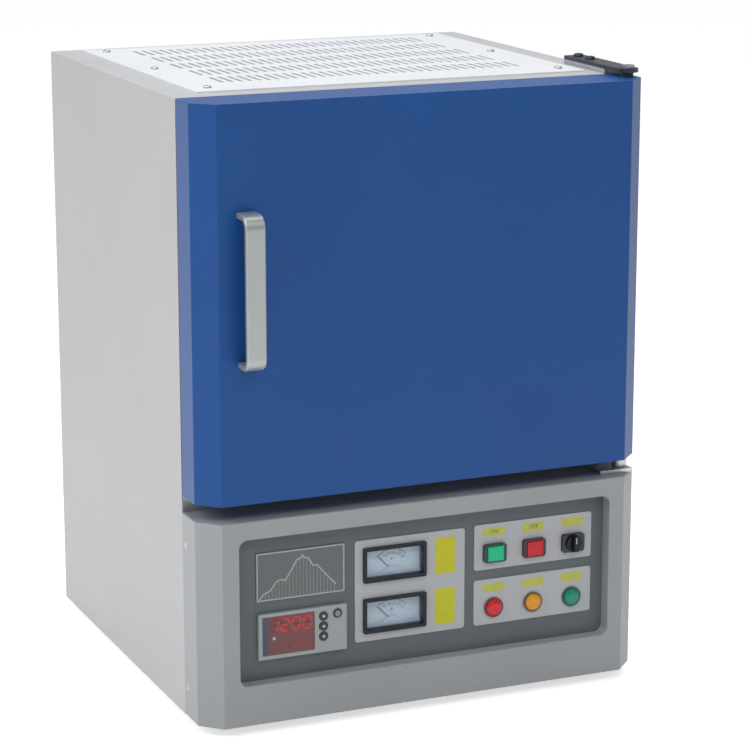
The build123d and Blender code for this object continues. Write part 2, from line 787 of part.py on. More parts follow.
# Heating elements: each coil of resistance wire is a bar of its outer size, lying in its groove.
with BuildPart() as heating_elements:
    with BuildSketch(facing(y_chamber + coil_end)):
        with Locations((0, z_mouth - groove / 2 + coil_radius)):
            with GridLocations(chamber_width + groove, coil_pitch, 2, coil_rows):
                RegularPolygon(coil_radius, 8, major_radius=False, rotation=22.5)
    extrude(amount=2 * coil_end - chamber_depth)
heating_elements.part.label = "heating_elements"
export_step(heating_elements.part, "parts/heating_elements.step")

# Ceramic terminal blocks on the casing's back, where the coils' tails come out.
steatite_size = (24.0, 90.0, 16.0)
with BuildPart() as element_terminals:
    with BuildSketch(facing(y_casing_back)):
        with Locations((0, z_mouth)):
            with GridLocations(chamber_width + board, 0, 2, 1):
                Rectangle(*steatite_size[:2])
    extrude(amount=-steatite_size[2])
element_terminals.part.label = "element_terminals"
export_step(element_terminals.part, "parts/element_terminals.step")

# Thermocouple: ceramic sheath through the back, connection head in the air gap.
head_size = (44.0, 30.0, 24.0)
sheath_reach = 45.0
with BuildPart() as thermocouple:
    with BuildSketch(facing(y_chamber_back - sheath_reach)):
        with Locations((0, thermocouple_z)):
            Circle(thermocouple_radius)
    extrude(amount=-(sheath_reach + board + rear_backup + casing_sheet))
    with BuildSketch(facing(y_casing_back)):
        with Locations((0, thermocouple_z)):
            Rectangle(*head_size[:2])
    extrude(amount=-head_size[2])
thermocouple.part.label = "thermocouple"
export_step(thermocouple.part, "parts/thermocouple.step")

# Catch magnet let into the front frame, standing proud to meet the door's steel back pan.
with BuildPart() as catch_magnet:
    with BuildSketch(facing(y_door_back + part_gap)):
        with Locations((magnet_x, z_mouth)):
            Rectangle(*magnet_size)
    extrude(amount=-magnet_depth)
catch_magnet.part.label = "catch_magnet"
export_step(catch_magnet.part, "parts/catch_magnet.step")

# ================================================================ door
# Door skin: bevelled sheet-metal box, open at the back.
handle_x = -half + handle_inset
handle_z = z_base + handle_height
with BuildPart() as door_skin:
    with BuildSketch(Plane.XY.offset(z_door)):
        with BuildLine():
            Polyline(*bevelled_plan(y_door_back), close=True)
        make_face()
    extrude(amount=z_top - z_door)
    fillet(door_skin.edges().filter_by(Axis.Z).sort_by(Axis.Y)[:4], edge_radius)
    offset(amount=-sheet, openings=door_skin.faces().sort_by(Axis.Y)[-1])
    with BuildSketch(Plane.XY.offset(z_door)):
        with Locations((pivot_x, pivot_y)):
            Circle(bush_radius + seat_gap)
    extrude(amount=z_top - z_door, mode=Mode.SUBTRACT)
door_skin.part.label = "door_skin"
export_step(door_skin.part, "parts/door_skin.step")

# Back pan of the door, cut out for the ceramic plug.
plug_base = chamber_width / 2 - plug_clearance
plug_tip = plug_base - plug_taper
plug_base_z = chamber_height / 2 - plug_clearance
plug_tip_z = plug_base_z - plug_taper
with BuildPart() as door_pan:
    with BuildSketch(facing(y_door_back)):
        with Locations((0, z_mouth)):
            Rectangle(width - 2 * sheet - 2 * seat_gap, z_top - z_door - 2 * sheet - 2 * seat_gap)
            Rectangle(2 * plug_base + 2 * seat_gap, 2 * plug_base_z + 2 * seat_gap, mode=Mode.SUBTRACT)
    extrude(amount=sheet)
door_pan.part.label = "door_pan"
export_step(door_pan.part, "parts/door_pan.step")

# Insulation board inside the door, clear of its front and sides.
front_space = 12.0
side_space = 30.0
end_space = 6.0
with BuildPart() as door_insulation:
    with BuildSketch(facing(y_front + front_space)):
        with Locations((0, z_mouth)):
            Rectangle(width - 2 * side_space, z_top - z_door - 2 * end_space)
    extrude(amount=-(door_depth - front_space - sheet))
door_insulation.part.label = "door_insulation"
export_step(door_insulation.part, "parts/door_insulation.step")

# Tapered ceramic plug.
with BuildPart() as door_plug:
    with BuildSketch(facing(y_door_back - sheet)):
        with Locations((0, z_mouth)):
            Rectangle(2 * plug_base, 2 * plug_base_z)
    with BuildSketch(facing(y_frame + plug_reach)):
        with Locations((0, z_mouth)):
            Rectangle(2 * plug_tip, 2 * plug_tip_z)
    loft()
door_plug.part.label = "door_plug"
export_step(door_plug.part, "parts/door_plug.step")

# Rope seal round the plug.
seal_thick = door_gap - part_gap
seal_width = 12.0
seal_gap = 3.0               # seal to the opening of the front frame
seal_inner = (frame_opening[0] + 2 * seal_gap, frame_opening[1] + 2 * seal_gap)
with BuildPart() as door_seal:
    with BuildSketch(facing(y_door_back)):
        with Locations((0, z_mouth)):
            Rectangle(seal_inner[0] + 2 * seal_width, seal_inner[1] + 2 * seal_width)
            Rectangle(*seal_inner, mode=Mode.SUBTRACT)
    extrude(amount=-seal_thick)
door_seal.part.label = "door_seal"
export_step(door_seal.part, "parts/door_seal.step")

# Hinge blocks inside the door's top and bottom, bored for the bushes.
block_size = (17.0, 17.0, bush_length - sheet)
with BuildPart() as hinge_blocks:
    for z in (z_door + sheet, z_top - sheet - block_size[2]):
        with BuildSketch(Plane.XY.offset(z)):
            with Locations((pivot_x, pivot_y)):
                Rectangle(block_size[0], block_size[1])
                Circle(bush_radius + seat_gap, mode=Mode.SUBTRACT)
        extrude(amount=block_size[2])
hinge_blocks.part.label = "hinge_blocks"
export_step(hinge_blocks.part, "parts/hinge_blocks.step")

# Brass bushes; their ends stand out of the door and carry it between bracket and strap.
riser = 5.0
strap = 4.0
bracket = 4.0
boss_height = 9.0
top_rise = riser - part_gap
bottom_drop = door_sill - bracket - boss_height - part_gap
with BuildPart() as door_bushes:
    for z, length in ((z_top - bush_length, bush_length + top_rise), (z_door - bottom_drop, bush_length + bottom_drop)):
        with BuildSketch(Plane.XY.offset(z)):
            with Locations((pivot_x, pivot_y)):
                Circle(bush_radius)
                Circle(pin_radius + running_fit, mode=Mode.SUBTRACT)
        extrude(amount=length)
door_bushes.part.label = "door_bushes"
export_step(door_bushes.part, "parts/door_bushes.step")

# Bow handle: flat bar bent back to the door at both ends.
y_grip = y_front - handle_reach
with BuildPart() as door_handle:
    with BuildSketch(Plane.YZ.offset(handle_x - handle_width / 2)):
        with Locations((y_front - handle_reach / 2, handle_z)):
            Rectangle(handle_reach, handle_length)
    extrude(amount=handle_width)
    fillet(door_handle.edges().filter_by(Axis.X).group_by(Axis.Y)[0], handle_bend)
    with BuildSketch(Plane.YZ.offset(handle_x - handle_width / 2)):
        with Locations((y_front - (handle_reach - handle_bar) / 2, handle_z)):
            Rectangle(handle_reach - handle_bar, handle_length - 2 * handle_bar)
    extrude(amount=handle_width, mode=Mode.SUBTRACT)
    grip_inside = y_grip + handle_bar
    inner_corners = door_handle.edges().filter_by(Axis.X)
    fillet(inner_corners.filter_by_position(Axis.Y, grip_inside - 0.1, grip_inside + 0.1), handle_bend - handle_bar)
    side_edges = door_handle.faces().filter_by(Axis.X).edges()
    chamfer(side_edges.filter_by(lambda edge: edge.center().Y < y_front - 0.1), 1.0)
door_handle.part.label = "door_handle"
export_step(door_handle.part, "parts/door_handle.step")

# ---------------------------------------------------------------- hinges on the housing and base
# Top strap on its spacer plate, bottom bracket with a boss, and the two pins.
strap_width = 22.0
strap_hold = 92.0            # length of the strap over the housing
strap_back = y_frame + strap_hold
riser_front = y_frame + 1.0
with BuildPart() as hinge_strap:
    with BuildSketch(Plane.XY.offset(z_top + riser)):
        with Locations((pivot_x, (pivot_y + strap_back) / 2)):
            Rectangle(strap_width, strap_back - pivot_y)
        with Locations((pivot_x, pivot_y)):
            Circle(strap_width / 2)
            Circle(pin_radius + seat_gap, mode=Mode.SUBTRACT)
    extrude(amount=strap)
hinge_strap.part.label = "hinge_strap"
export_step(hinge_strap.part, "parts/hinge_strap.step")

bracket_width = 38.0
bracket_reach = 15.0         # in front of the pin
bracket_inset = 3.0          # from the side, and from the front frame
boss_radius = 8.0
bracket_front = pivot_y - bracket_reach
bracket_back = y_frame - bracket_inset
bracket_x = half - bracket_inset - bracket_width / 2
with BuildPart() as hinge_brackets:
    with BuildSketch(Plane.XY.offset(z_top)):
        with Locations((pivot_x, (riser_front + strap_back) / 2)):
            Rectangle(strap_width, strap_back - riser_front)
    extrude(amount=riser)
    with BuildSketch(Plane.XY.offset(z_deck)):
        with Locations((bracket_x, (bracket_front + bracket_back) / 2)):
            Rectangle(bracket_width, bracket_back - bracket_front)
    extrude(amount=bracket)
    with BuildSketch(Plane.XY.offset(z_deck + bracket)):
        with Locations((pivot_x, pivot_y)):
            Circle(boss_radius)
            Circle(pin_radius + seat_gap, mode=Mode.SUBTRACT)
    extrude(amount=boss_height)
hinge_brackets.part.label = "hinge_brackets"
export_step(hinge_brackets.part, "parts/hinge_brackets.step")

pin_head = 3.0
pin_head_lip = 3.0
pin_hold = bush_length - 2.0  # length of pin in its bush
with BuildPart() as hinge_pins:
    with BuildSketch(Plane.XY.offset(z_top - pin_hold)):
        with Locations((pivot_x, pivot_y)):
            Circle(pin_radius)
    extrude(amount=pin_hold + riser + strap)
    with BuildSketch(Plane.XY.offset(z_top + riser + strap)):
        with Locations((pivot_x, pivot_y)):
            Circle(pin_radius + pin_head_lip)
    extrude(amount=pin_head)
    with BuildSketch(Plane.XY.offset(z_deck + bracket)):
        with Locations((pivot_x, pivot_y)):
            Circle(pin_radius)
    extrude(amount=door_sill - bracket + pin_hold)
hinge_pins.part.label = "hinge_pins"
export_step(hinge_pins.part, "parts/hinge_pins.step")
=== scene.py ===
# %% [markdown]
# # A bench-top box furnace, dressed for the camera
# The solid model already has every sheet, board, hinge and switch in its true
# size and place. This lesson loads it, gives each part the finish it has in the
# workshop, and adds the fine pieces that a solid model leaves out: screws, dial
# scales, display digits, coiled heating wire and the woven door seal.

# %% Load the solid model
import json
import math

import bmesh
import bpy
import numpy as np
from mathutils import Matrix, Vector


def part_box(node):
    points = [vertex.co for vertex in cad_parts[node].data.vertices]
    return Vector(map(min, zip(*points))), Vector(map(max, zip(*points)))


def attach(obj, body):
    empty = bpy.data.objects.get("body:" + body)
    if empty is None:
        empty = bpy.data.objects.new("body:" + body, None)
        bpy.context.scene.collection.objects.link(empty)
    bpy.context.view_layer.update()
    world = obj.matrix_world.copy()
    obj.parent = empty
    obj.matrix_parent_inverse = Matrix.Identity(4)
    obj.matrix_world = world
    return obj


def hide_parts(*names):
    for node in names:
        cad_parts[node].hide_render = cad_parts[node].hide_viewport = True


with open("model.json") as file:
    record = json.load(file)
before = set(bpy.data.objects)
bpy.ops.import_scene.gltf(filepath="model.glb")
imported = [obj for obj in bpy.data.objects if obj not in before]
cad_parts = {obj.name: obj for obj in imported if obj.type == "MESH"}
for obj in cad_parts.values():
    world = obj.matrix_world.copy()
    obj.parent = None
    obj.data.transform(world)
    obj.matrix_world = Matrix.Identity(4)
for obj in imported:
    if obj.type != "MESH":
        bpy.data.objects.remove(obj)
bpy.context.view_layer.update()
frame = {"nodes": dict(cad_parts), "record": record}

# %% [markdown]
# ## Millimetres
# Shop drawings of a furnace are in millimetres, and Blender works in metres.
# Every length of the furnace is written in millimetres and scaled once, when a
# mesh is made; only the camera, the floor and the lamps are placed in metres.
# The corners of a part are read from the solid model, so that many pieces find
# their seat by themselves.

# %% Corners of a part, in millimetres
def corners(node):
    """Lowest and highest corner of a part of the solid model, in millimetres."""
    low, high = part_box(node)
    return np.array(low) * 1000, np.array(high) * 1000


panel_front = corners("panel_plates")[0][1]
print("instrument plates at y", round(panel_front, 2))

# %% [markdown]
# ## Colours as they are seen
# Paint is chosen from a shade card, so colours are written as screen values
# from 0 to 255. The shader wants light, not screen values, so each one goes
# through the display curve backwards.

# %% Screen colours to light
def shade(red, green, blue, factor=1.0):
    """Screen colour 0-255 to linear light: c/12.92 below 0.04045, else ((c+0.055)/1.055)^2.4, times
    factor."""
    c = np.array([red, green, blue]) / 255
    light = np.where(c <= 0.04045, c / 12.92, ((c + 0.055) / 1.055) ** 2.4) * factor
    return (*np.clip(light, 0, 1).tolist(), 1.0)


# %% [markdown]
# ## Nodes in one line
# A finish is a small graph of nodes. This helper makes a node, sets what is
# plain and links what comes from another node, so that a finish reads like a
# recipe.

# %% A node with its settings
def node(tree, kind, inputs=None, **settings):
    """Makes one node; an input given as another node's output is linked, any other value is set."""
    made = tree.nodes.new(kind)
    for name, value in settings.items():
        setattr(made, name, value)
    for name, value in (inputs or {}).items():
        if isinstance(value, bpy.types.NodeSocket):
            tree.links.new(value, made.inputs[name])
        else:
            made.inputs[name].default_value = value
    return made


def between(tree, factor, low, high, start=0.3, end=0.7):
    """Colour that goes from low to high as factor goes from start to end."""
    ramp = node(tree, "ShaderNodeValToRGB", {"Fac": factor})
    ramp.color_ramp.elements[0].position, ramp.color_ramp.elements[0].color = start, low
    ramp.color_ramp.elements[1].position, ramp.color_ramp.elements[1].color = end, high
    return ramp.outputs["Color"]


def spread(tree, value, low, high):
    """Number that goes from low to high as value goes from 0.3 to 0.7."""
    made = node(tree, "ShaderNodeMapRange",
        {"Value": value, "From Min": 0.3, "From Max": 0.7, "To Min": low, "To Max": high})
    return made.outputs["Result"]


# %% [markdown]
# ## One recipe for hard finishes
# Powder coat, moulded plastic, fired ceramic and rolled metal differ in size
# and depth of the same three things: slow clouds of colour, a fine grain that
# lifts the surface, and a gloss that wanders a little. One recipe with those
# three controls makes them all comparable. The grain can be stretched along an
# axis, which turns it into brush lines.

# %% The recipe
def hard_finish(name, colour, gloss, clouds=0.04, cloud_size=90, grain=1.0, lift=0.03, stretch=(1, 1, 1),
    wander=0.05, metal=0.0, **constants):
    """A Principled shader. Colour is the given one times 1±clouds, on noise of cloud_size mm; roughness
    is gloss±wander and height is lift mm, both on noise of grain mm stretched along the axes."""
    material = bpy.data.materials.new(name)
    material.use_nodes = True
    tree = material.node_tree
    shader = tree.nodes["Principled BSDF"]
    place = node(tree, "ShaderNodeTexCoord").outputs["Object"]
    drift = node(tree, "ShaderNodeTexNoise",
        {"Vector": place, "Scale": 1000 / cloud_size, "Detail": 4.0, "Roughness": 0.6})
    pulled = node(tree, "ShaderNodeMapping", {"Vector": place, "Scale": tuple(1 / s for s in stretch)})
    fine = node(tree, "ShaderNodeTexNoise",
        {"Vector": pulled.outputs["Vector"], "Scale": 1000 / grain, "Detail": 3.0, "Roughness": 0.55})
    dark, light = (shade(*colour, 1 + side * clouds) for side in (-1, 1))
    tree.links.new(between(tree, drift.outputs["Fac"], dark, light), shader.inputs["Base Color"])
    tree.links.new(spread(tree, fine.outputs["Fac"], gloss - wander, gloss + wander),
        shader.inputs["Roughness"])
    bump = node(tree, "ShaderNodeBump",
        {"Strength": 0.6, "Distance": lift / 1000, "Height": fine.outputs["Fac"]})
    tree.links.new(bump.outputs["Normal"], shader.inputs["Normal"])
    shader.inputs["Metallic"].default_value = metal
    for socket, value in constants.items():
        shader.inputs[socket.replace("_", " ")].default_value = value
    return material


# %% [markdown]
# ## Powder coat
# The housing, door, base and panels are steel sheet sprayed with powder and
# baked. The powder melts into a skin like fine orange peel, about a millimetre
# from dimple to dimple. Each colour is the same recipe with its own shade.

# %% Paints
finish = {}
finish["housing_paint"] = hard_finish("housing_paint", (188, 189, 191), 0.42, clouds=0.025, cloud_size=160,
    grain=1.1, lift=0.05)
# The vent cover on top is painted in a lighter copy of the housing grey: painted light, because the top
# catches the most light.
finish["cover_paint"] = hard_finish("cover_paint", (224, 228, 233), 0.5, clouds=0.025, cloud_size=120,
    grain=1.1, lift=0.05)
finish["fascia_paint"] = hard_finish("fascia_paint", (164, 167, 170), 0.44, clouds=0.03, cloud_size=140,
    grain=1.1, lift=0.05)
finish["door_paint"] = hard_finish("door_paint", (18, 78, 148), 0.40, clouds=0.05, cloud_size=150,
    grain=1.0, lift=0.05, Specular_IOR_Level=0.35)
finish["panel_paint"] = hard_finish("panel_paint", (101, 108, 113), 0.5, clouds=0.05, cloud_size=70,
    grain=0.8, lift=0.04, Specular_IOR_Level=0.4)
finish["plate_paint"] = hard_finish("plate_paint", (190, 193, 196), 0.38, clouds=0.02, cloud_size=60,
    grain=0.6, lift=0.015)
print("paints", sorted(finish))

# %% [markdown]
# ## Metals
# The front frame and the door's back pan are brushed stainless steel, with the
# brush lines running across. The inner casing and the base plates are
# galvanised, and their zinc shows as large crystals. Pins, blocks and brackets
# are turned or plated steel, and the handle is anodised aluminium, which is
# matt and fine-grained along its length.

# %% Metals
finish["stainless"] = hard_finish("stainless", (192, 190, 186), 0.30, clouds=0.06, cloud_size=120,
    grain=0.35, lift=0.01, stretch=(60, 1, 1), wander=0.1, metal=1.0)
finish["plain_steel"] = hard_finish("plain_steel", (150, 150, 152), 0.32, clouds=0.08, cloud_size=20,
    grain=0.4, lift=0.01, stretch=(8, 8, 1), metal=1.0)
finish["dark_steel"] = hard_finish("dark_steel", (58, 64, 78), 0.38, clouds=0.15, cloud_size=15, grain=0.6,
    lift=0.02, metal=0.7)
finish["pale_steel"] = hard_finish("pale_steel", (196, 198, 200), 0.35, clouds=0.06, cloud_size=25,
    grain=0.5, lift=0.01, metal=0.9)
finish["handle_aluminium"] = hard_finish("handle_aluminium", (172, 177, 177), 0.38, clouds=0.03,
    cloud_size=40, grain=0.3, lift=0.012, stretch=(1, 1, 30), wander=0.06, metal=0.55)
finish["heat_sink_aluminium"] = hard_finish("heat_sink_aluminium", (168, 169, 170), 0.4, clouds=0.05,
    cloud_size=30, grain=0.5, lift=0.02, stretch=(1, 40, 1), metal=1.0)
finish["magnet"] = hard_finish("magnet", (92, 92, 94), 0.45, clouds=0.1, cloud_size=10, grain=0.7,
    lift=0.02, metal=0.8)
finish["coil_wire"] = hard_finish("coil_wire", (164, 152, 138), 0.55, clouds=0.2, cloud_size=18, grain=0.3,
    lift=0.02, metal=0.5)

# %% Galvanised sheet, with zinc crystals
zinc = hard_finish("galvanised", (160, 164, 167), 0.42, clouds=0.05, grain=0.6, lift=0.01, metal=1.0)
tree = zinc.node_tree
crystal = node(tree, "ShaderNodeTexVoronoi",
    {"Vector": node(tree, "ShaderNodeTexCoord").outputs["Object"], "Scale": 90.0})
tree.links.new(between(tree, crystal.outputs["Color"], shade(140, 144, 148), shade(178, 181, 183), 0.1,
        0.9), tree.nodes["Principled BSDF"].inputs["Base Color"])
finish["galvanised"] = zinc

# %% [markdown]
# ## Ceramics and insulation
# The hot chamber is lined with vacuum-formed fibre board: chalky, nearly white
# and slightly warm where it has been fired. The hearth plate is denser and
# tan. Wool fills the space behind, and steatite blocks carry the terminals.
# None of them shines, so gloss is low and the grain is coarse.

# %% Ceramics
finish["fibre_board"] = hard_finish("fibre_board", (228, 221, 206), 0.9, clouds=0.05, cloud_size=45,
    grain=2.2, lift=0.25)
finish["hearth_ceramic"] = hard_finish("hearth_ceramic", (205, 190, 164), 0.8, clouds=0.09, cloud_size=25,
    grain=1.4, lift=0.12)
finish["ceramic_wool"] = hard_finish("ceramic_wool", (232, 230, 222), 0.95, clouds=0.05, cloud_size=30,
    grain=3.0, lift=0.6, stretch=(4, 4, 1))
finish["steatite"] = hard_finish("steatite", (224, 218, 202), 0.35, clouds=0.03, cloud_size=30, grain=1.0,
    lift=0.02)
finish["rope_seal"] = hard_finish("rope_seal", (222, 215, 198), 0.92, clouds=0.08, cloud_size=20, grain=0.6,
    lift=0.12)

# %% [markdown]
# ## Plastics and rubber
# Instrument cases, buttons and feet are moulded. A mould leaves a very fine
# spark-eroded grain, finer on glossy parts. The dial card and the clear window
# are nearly smooth, and the window lets most of the light through, so it is
# made see-through instead of refracting.

# %% Plastics
finish["rubber_black"] = hard_finish("rubber_black", (30, 30, 31), 0.75, clouds=0.15, cloud_size=12,
    grain=0.9, lift=0.05)
finish["controller_grey"] = hard_finish("controller_grey", (166, 174, 176), 0.42, clouds=0.03,
    cloud_size=25, grain=0.5, lift=0.02)
finish["display_glass"] = hard_finish("display_glass", (30, 24, 34), 0.16, clouds=0.3, cloud_size=25,
    grain=2.0, lift=0.002, wander=0.03, Coat_Weight=0.6, Coat_Roughness=0.06)
finish["black_plastic"] = hard_finish("black_plastic", (16, 22, 34), 0.34, clouds=0.12, cloud_size=14,
    grain=0.5, lift=0.015, Specular_IOR_Level=0.3)
finish["dial_white"] = hard_finish("dial_white", (222, 242, 255), 0.5, clouds=0.03, cloud_size=12,
    grain=0.7, lift=0.006)
finish["clear_glass"] = hard_finish("clear_glass", (206, 224, 240), 0.08, clouds=0.02, cloud_size=20,
    grain=2.0, lift=0.001, wander=0.02, Alpha=0.12)
finish["device_plastic"] = hard_finish("device_plastic", (58, 60, 62), 0.5, clouds=0.08, cloud_size=20,
    grain=0.6, lift=0.03)
finish["dark_bush"] = hard_finish("dark_bush", (44, 44, 47), 0.45, clouds=0.1, cloud_size=8, grain=0.4,
    lift=0.01)
finish["green_plastic"] = hard_finish("green_plastic", (24, 200, 142), 0.3, clouds=0.07, cloud_size=4,
    grain=0.8, lift=0.03, Specular_IOR_Level=0.35)
finish["red_plastic"] = hard_finish("red_plastic", (214, 34, 40), 0.3, clouds=0.07, cloud_size=4, grain=0.8,
    lift=0.03, Specular_IOR_Level=0.35)
finish["key_plastic"] = hard_finish("key_plastic", (40, 50, 60), 0.45, clouds=0.06, cloud_size=5, grain=0.5,
    lift=0.015)
finish["pointer_black"] = hard_finish("pointer_black", (26, 26, 28), 0.45, clouds=0.06, cloud_size=5,
    grain=0.4, lift=0.005)
finish["lamp_plastic"] = hard_finish("lamp_plastic", (214, 130, 50), 0.22, clouds=0.08, cloud_size=6,
    grain=0.8, lift=0.02)
print("finishes in all", len(finish))

# %% [markdown]
# ## Every part gets the finish of its slot
# The record of the part says which finish each node wears. The meshes stay as
# they are; only their material changes.

# %% Dress the solid model
slot_of = {part["node"]: part["material_slot"] for part in frame["record"]["subparts"]}
for name, solid in frame["nodes"].items():
    if not solid.material_slots:
        solid.data.materials.append(None)
    for place in solid.material_slots:
        place.material = finish[slot_of[name]]
print("dressed", len(slot_of), "nodes")

# %% [markdown]
# ## From arrays to a piece
# Every added piece is worked out as arrays of points. A piece's mesh is filled
# from its arrays, its doubled points are merged so that seams and poles close,
# its faces are turned outwards, and it rides on the body that carries it.

# %% Make a piece
def piece(name, shapes, body, slot, materials=None, smooth=False):
    """One mesh object from shapes, a list of (points in mm, faces) or (points, faces, material
    number); faces is a list of index rows."""
    points, faces, which, start = [], [], [], 0
    for shape in shapes:
        places, rows = np.asarray(shape[0], float), shape[1]
        points.append(places)
        faces += [(np.asarray(row) + start).tolist() for row in rows]
        which += [shape[2] if len(shape) > 2 else 0] * len(rows)
        start += len(places)
    mesh = bpy.data.meshes.new(name)
    mesh.from_pydata((np.concatenate(points) / 1000).tolist(), [], faces)
    mesh.polygons.foreach_set("material_index", which)
    merged = bmesh.new()
    merged.from_mesh(mesh)
    bmesh.ops.remove_doubles(merged, verts=merged.verts, dist=1e-6)
    bmesh.ops.recalc_face_normals(merged, faces=merged.faces)
    merged.to_mesh(mesh)
    merged.free()
    if smooth:
        mesh.shade_smooth()
        mesh.set_sharp_from_angle(angle=math.radians(40))
    made = bpy.data.objects.new(name, mesh)
    bpy.context.scene.collection.objects.link(made)
    for material in materials or [finish[slot]]:
        mesh.materials.append(material)
    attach(made, body)
    return made


# %% [markdown]
# ## Folded sheet
# A press brake folds sheet steel round a nose, so a bend is never sharp: it
# has a small radius that catches a line of light. The solid model keeps its
# bends sharp. For the two sheets at the front, the base fascia and the door
# skin, a copy with rounded bends takes the place of the model's own mesh. A
# bend is a convex edge of the outer skin, and a face belongs to the outer skin
# when no point of the part lies in front of it.

# %% Round the outer bends
def folded(source, body, slot, radius=1.4, steps=3):
    """Copy of a sheet part with its outer convex edges bevelled: distance of every point from every
    face plane is points . normals - offsets, and skin faces have none above zero."""
    work = bmesh.new()
    work.from_mesh(frame["nodes"][source].data)
    bmesh.ops.remove_doubles(work, verts=work.verts, dist=1e-6)
    bmesh.ops.dissolve_limit(work, angle_limit=math.radians(1), verts=work.verts, edges=work.edges)
    points = np.array([corner.co for corner in work.verts])
    normals = np.array([face.normal for face in work.faces])
    offsets = np.sum(np.array([face.verts[0].co for face in work.faces]) * normals, -1)
    skin = np.max(points @ normals.T, axis=0) - offsets < 1e-5
    rear = points[:, 1].max() - 1e-5
    work.faces.index_update()
    bends = [
        edge for edge in work.edges
        if edge.is_convex and edge.calc_face_angle() > math.radians(15)
        and min(end.co.y for end in edge.verts) < rear
        and any(skin[face.index] and face.normal.y < 0.5 for face in edge.link_faces)
    ]
    bmesh.ops.bevel(work, geom=bends, offset=radius / 1000, segments=steps, profile=0.5, affect="EDGES",
        clamp_overlap=True)
    mesh = bpy.data.meshes.new(source + "_folded")
    work.to_mesh(mesh)
    work.free()
    mesh.shade_smooth()
    mesh.set_sharp_from_angle(angle=math.radians(35))
    mesh.materials.append(finish[slot])
    made = bpy.data.objects.new(source + "_folded", mesh)
    bpy.context.scene.collection.objects.link(made)
    even = made.modifiers.new("even_shading", "WEIGHTED_NORMAL")
    even.keep_sharp = True
    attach(made, body)
    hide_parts(source)
    print(source, "bends", len(bends), "faces", len(mesh.polygons))
    return made


folded("base_fascia", "furnace", "fascia_paint")
folded("door_skin", "door", "door_paint")

# %% [markdown]
# ## Skins and slabs
# Most fine pieces are a stack of closed outlines joined by a skin: a screw head
# is circle, circle, hexagon; a label is one outline twice. All outlines of a
# stack have the same number of points, so the skin is a grid and the ends are
# single faces.

# %% Stack outlines into a closed skin
def grid_faces(rows, columns):
    """Quads between neighbouring rows of a grid whose columns close on themselves: corner = row *
    columns + column."""
    row, column = np.meshgrid(np.arange(rows - 1), np.arange(columns), indexing="ij")
    nearer, across = row * columns, (column + 1) % columns
    return np.stack([nearer + column, nearer + across, nearer + columns + across,
            nearer + columns + column], -1).reshape(-1, 4)


def stack(outlines, heights, centre=(0, 0, 0), axis="-y", closed=False):
    """Skin through outlines (each N x 2) set at heights along an axis from centre, with a flat face at
    both ends, or joined into a ring."""
    outlines = np.array([np.asarray(outline, float) for outline in outlines])
    layers, count = outlines.shape[:2]
    a, b = outlines[..., 0], outlines[..., 1]
    h = np.broadcast_to(np.asarray(heights, float)[:, None], a.shape)
    turned = {"-y": (a, -h, b), "+y": (a, h, b), "+z": (a, b, h), "-z": (a, b, -h), "+x": (h, a, b),
        "-x": (-h, a, b)}[axis]
    points = np.stack(turned, -1).reshape(-1, 3) + np.asarray(centre, float)
    if closed:
        points = np.concatenate([points, points[:count]])
        return points, grid_faces(layers + 1, count).tolist()
    ends = [np.arange(count), np.arange(count) + (layers - 1) * count]
    return points, grid_faces(layers, count).tolist() + [end.tolist() for end in ends]


def slab(outline, back, front, centre=(0, 0)):
    """Flat plate facing the front: one outline from y=back to y=front."""
    outline = np.asarray(outline, float) + np.asarray(centre, float)
    return stack([outline, outline], [-back, -front])


# %% [markdown]
# ## Outlines
# Circles, regular polygons and rounded rectangles cover the labels, screws and
# bezels. A ribbon is a line given a width: its outline runs up one side of the
# line and back down the other, and at each point the side steps are stretched
# so that the ribbon keeps its width round a corner.

# %% Outlines and ribbons
def circle(radius, count=32, turn=0.0):
    """Points at radius (cos, sin) of evenly spaced angles."""
    angle = np.arange(count) / count * 2 * np.pi + turn
    return radius * np.stack([np.cos(angle), np.sin(angle)], -1)


def polygon(radius, sides, count, turn=0.0):
    """A regular polygon with count points: at angle t its radius is that of the flat side nearest to t."""
    angle = np.arange(count) / count * 2 * np.pi
    within = (angle + np.pi / sides) % (2 * np.pi / sides) - np.pi / sides
    reach = radius * np.cos(np.pi / sides) / np.cos(within)
    return np.stack([reach * np.cos(angle + turn), reach * np.sin(angle + turn)], -1)


def rounded(width, height, radius, steps=5):
    """A rectangle whose corners are quarter circles: corner centre plus radius at each angle."""
    quarter = np.linspace(0, np.pi / 2, steps)
    angle = (np.arange(4)[:, None] * np.pi / 2 + quarter).ravel()
    signs = np.repeat([[1, 1], [-1, 1], [-1, -1], [1, -1]], steps, axis=0)
    middle = signs * [width / 2 - radius, height / 2 - radius]
    return middle + radius * np.stack([np.cos(angle), np.sin(angle)], -1)


def ribbon(line, width):
    """Outline of a line with a width: each point steps half a width along the mean of its neighbours'
    normals, over the cosine between."""
    line = np.asarray(line, float)
    run = np.diff(line, axis=0)
    normal = np.stack([-run[:, 1], run[:, 0]], -1) / np.linalg.norm(run, axis=1)[:, None]
    before, after = np.vstack([normal[:1], normal]), np.vstack([normal, normal[-1:]])
    step = (before + after) / (1 + np.sum(before * after, -1))[:, None] * width / 2
    return np.vstack([line + step, (line - step)[::-1]])


print("outlines ready:", circle(1).shape, rounded(4, 2, 0.5).shape)

# %% [markdown]
# ## Screws
# Sheet-metal work is held by small machine screws. A head is a low dome with a
# cross or hexagon recess. The recess is part of the stack: the outline changes
# from a circle to a small cross, and goes down. Six rings of 24 points are
# enough for a head that is 8 mm across.

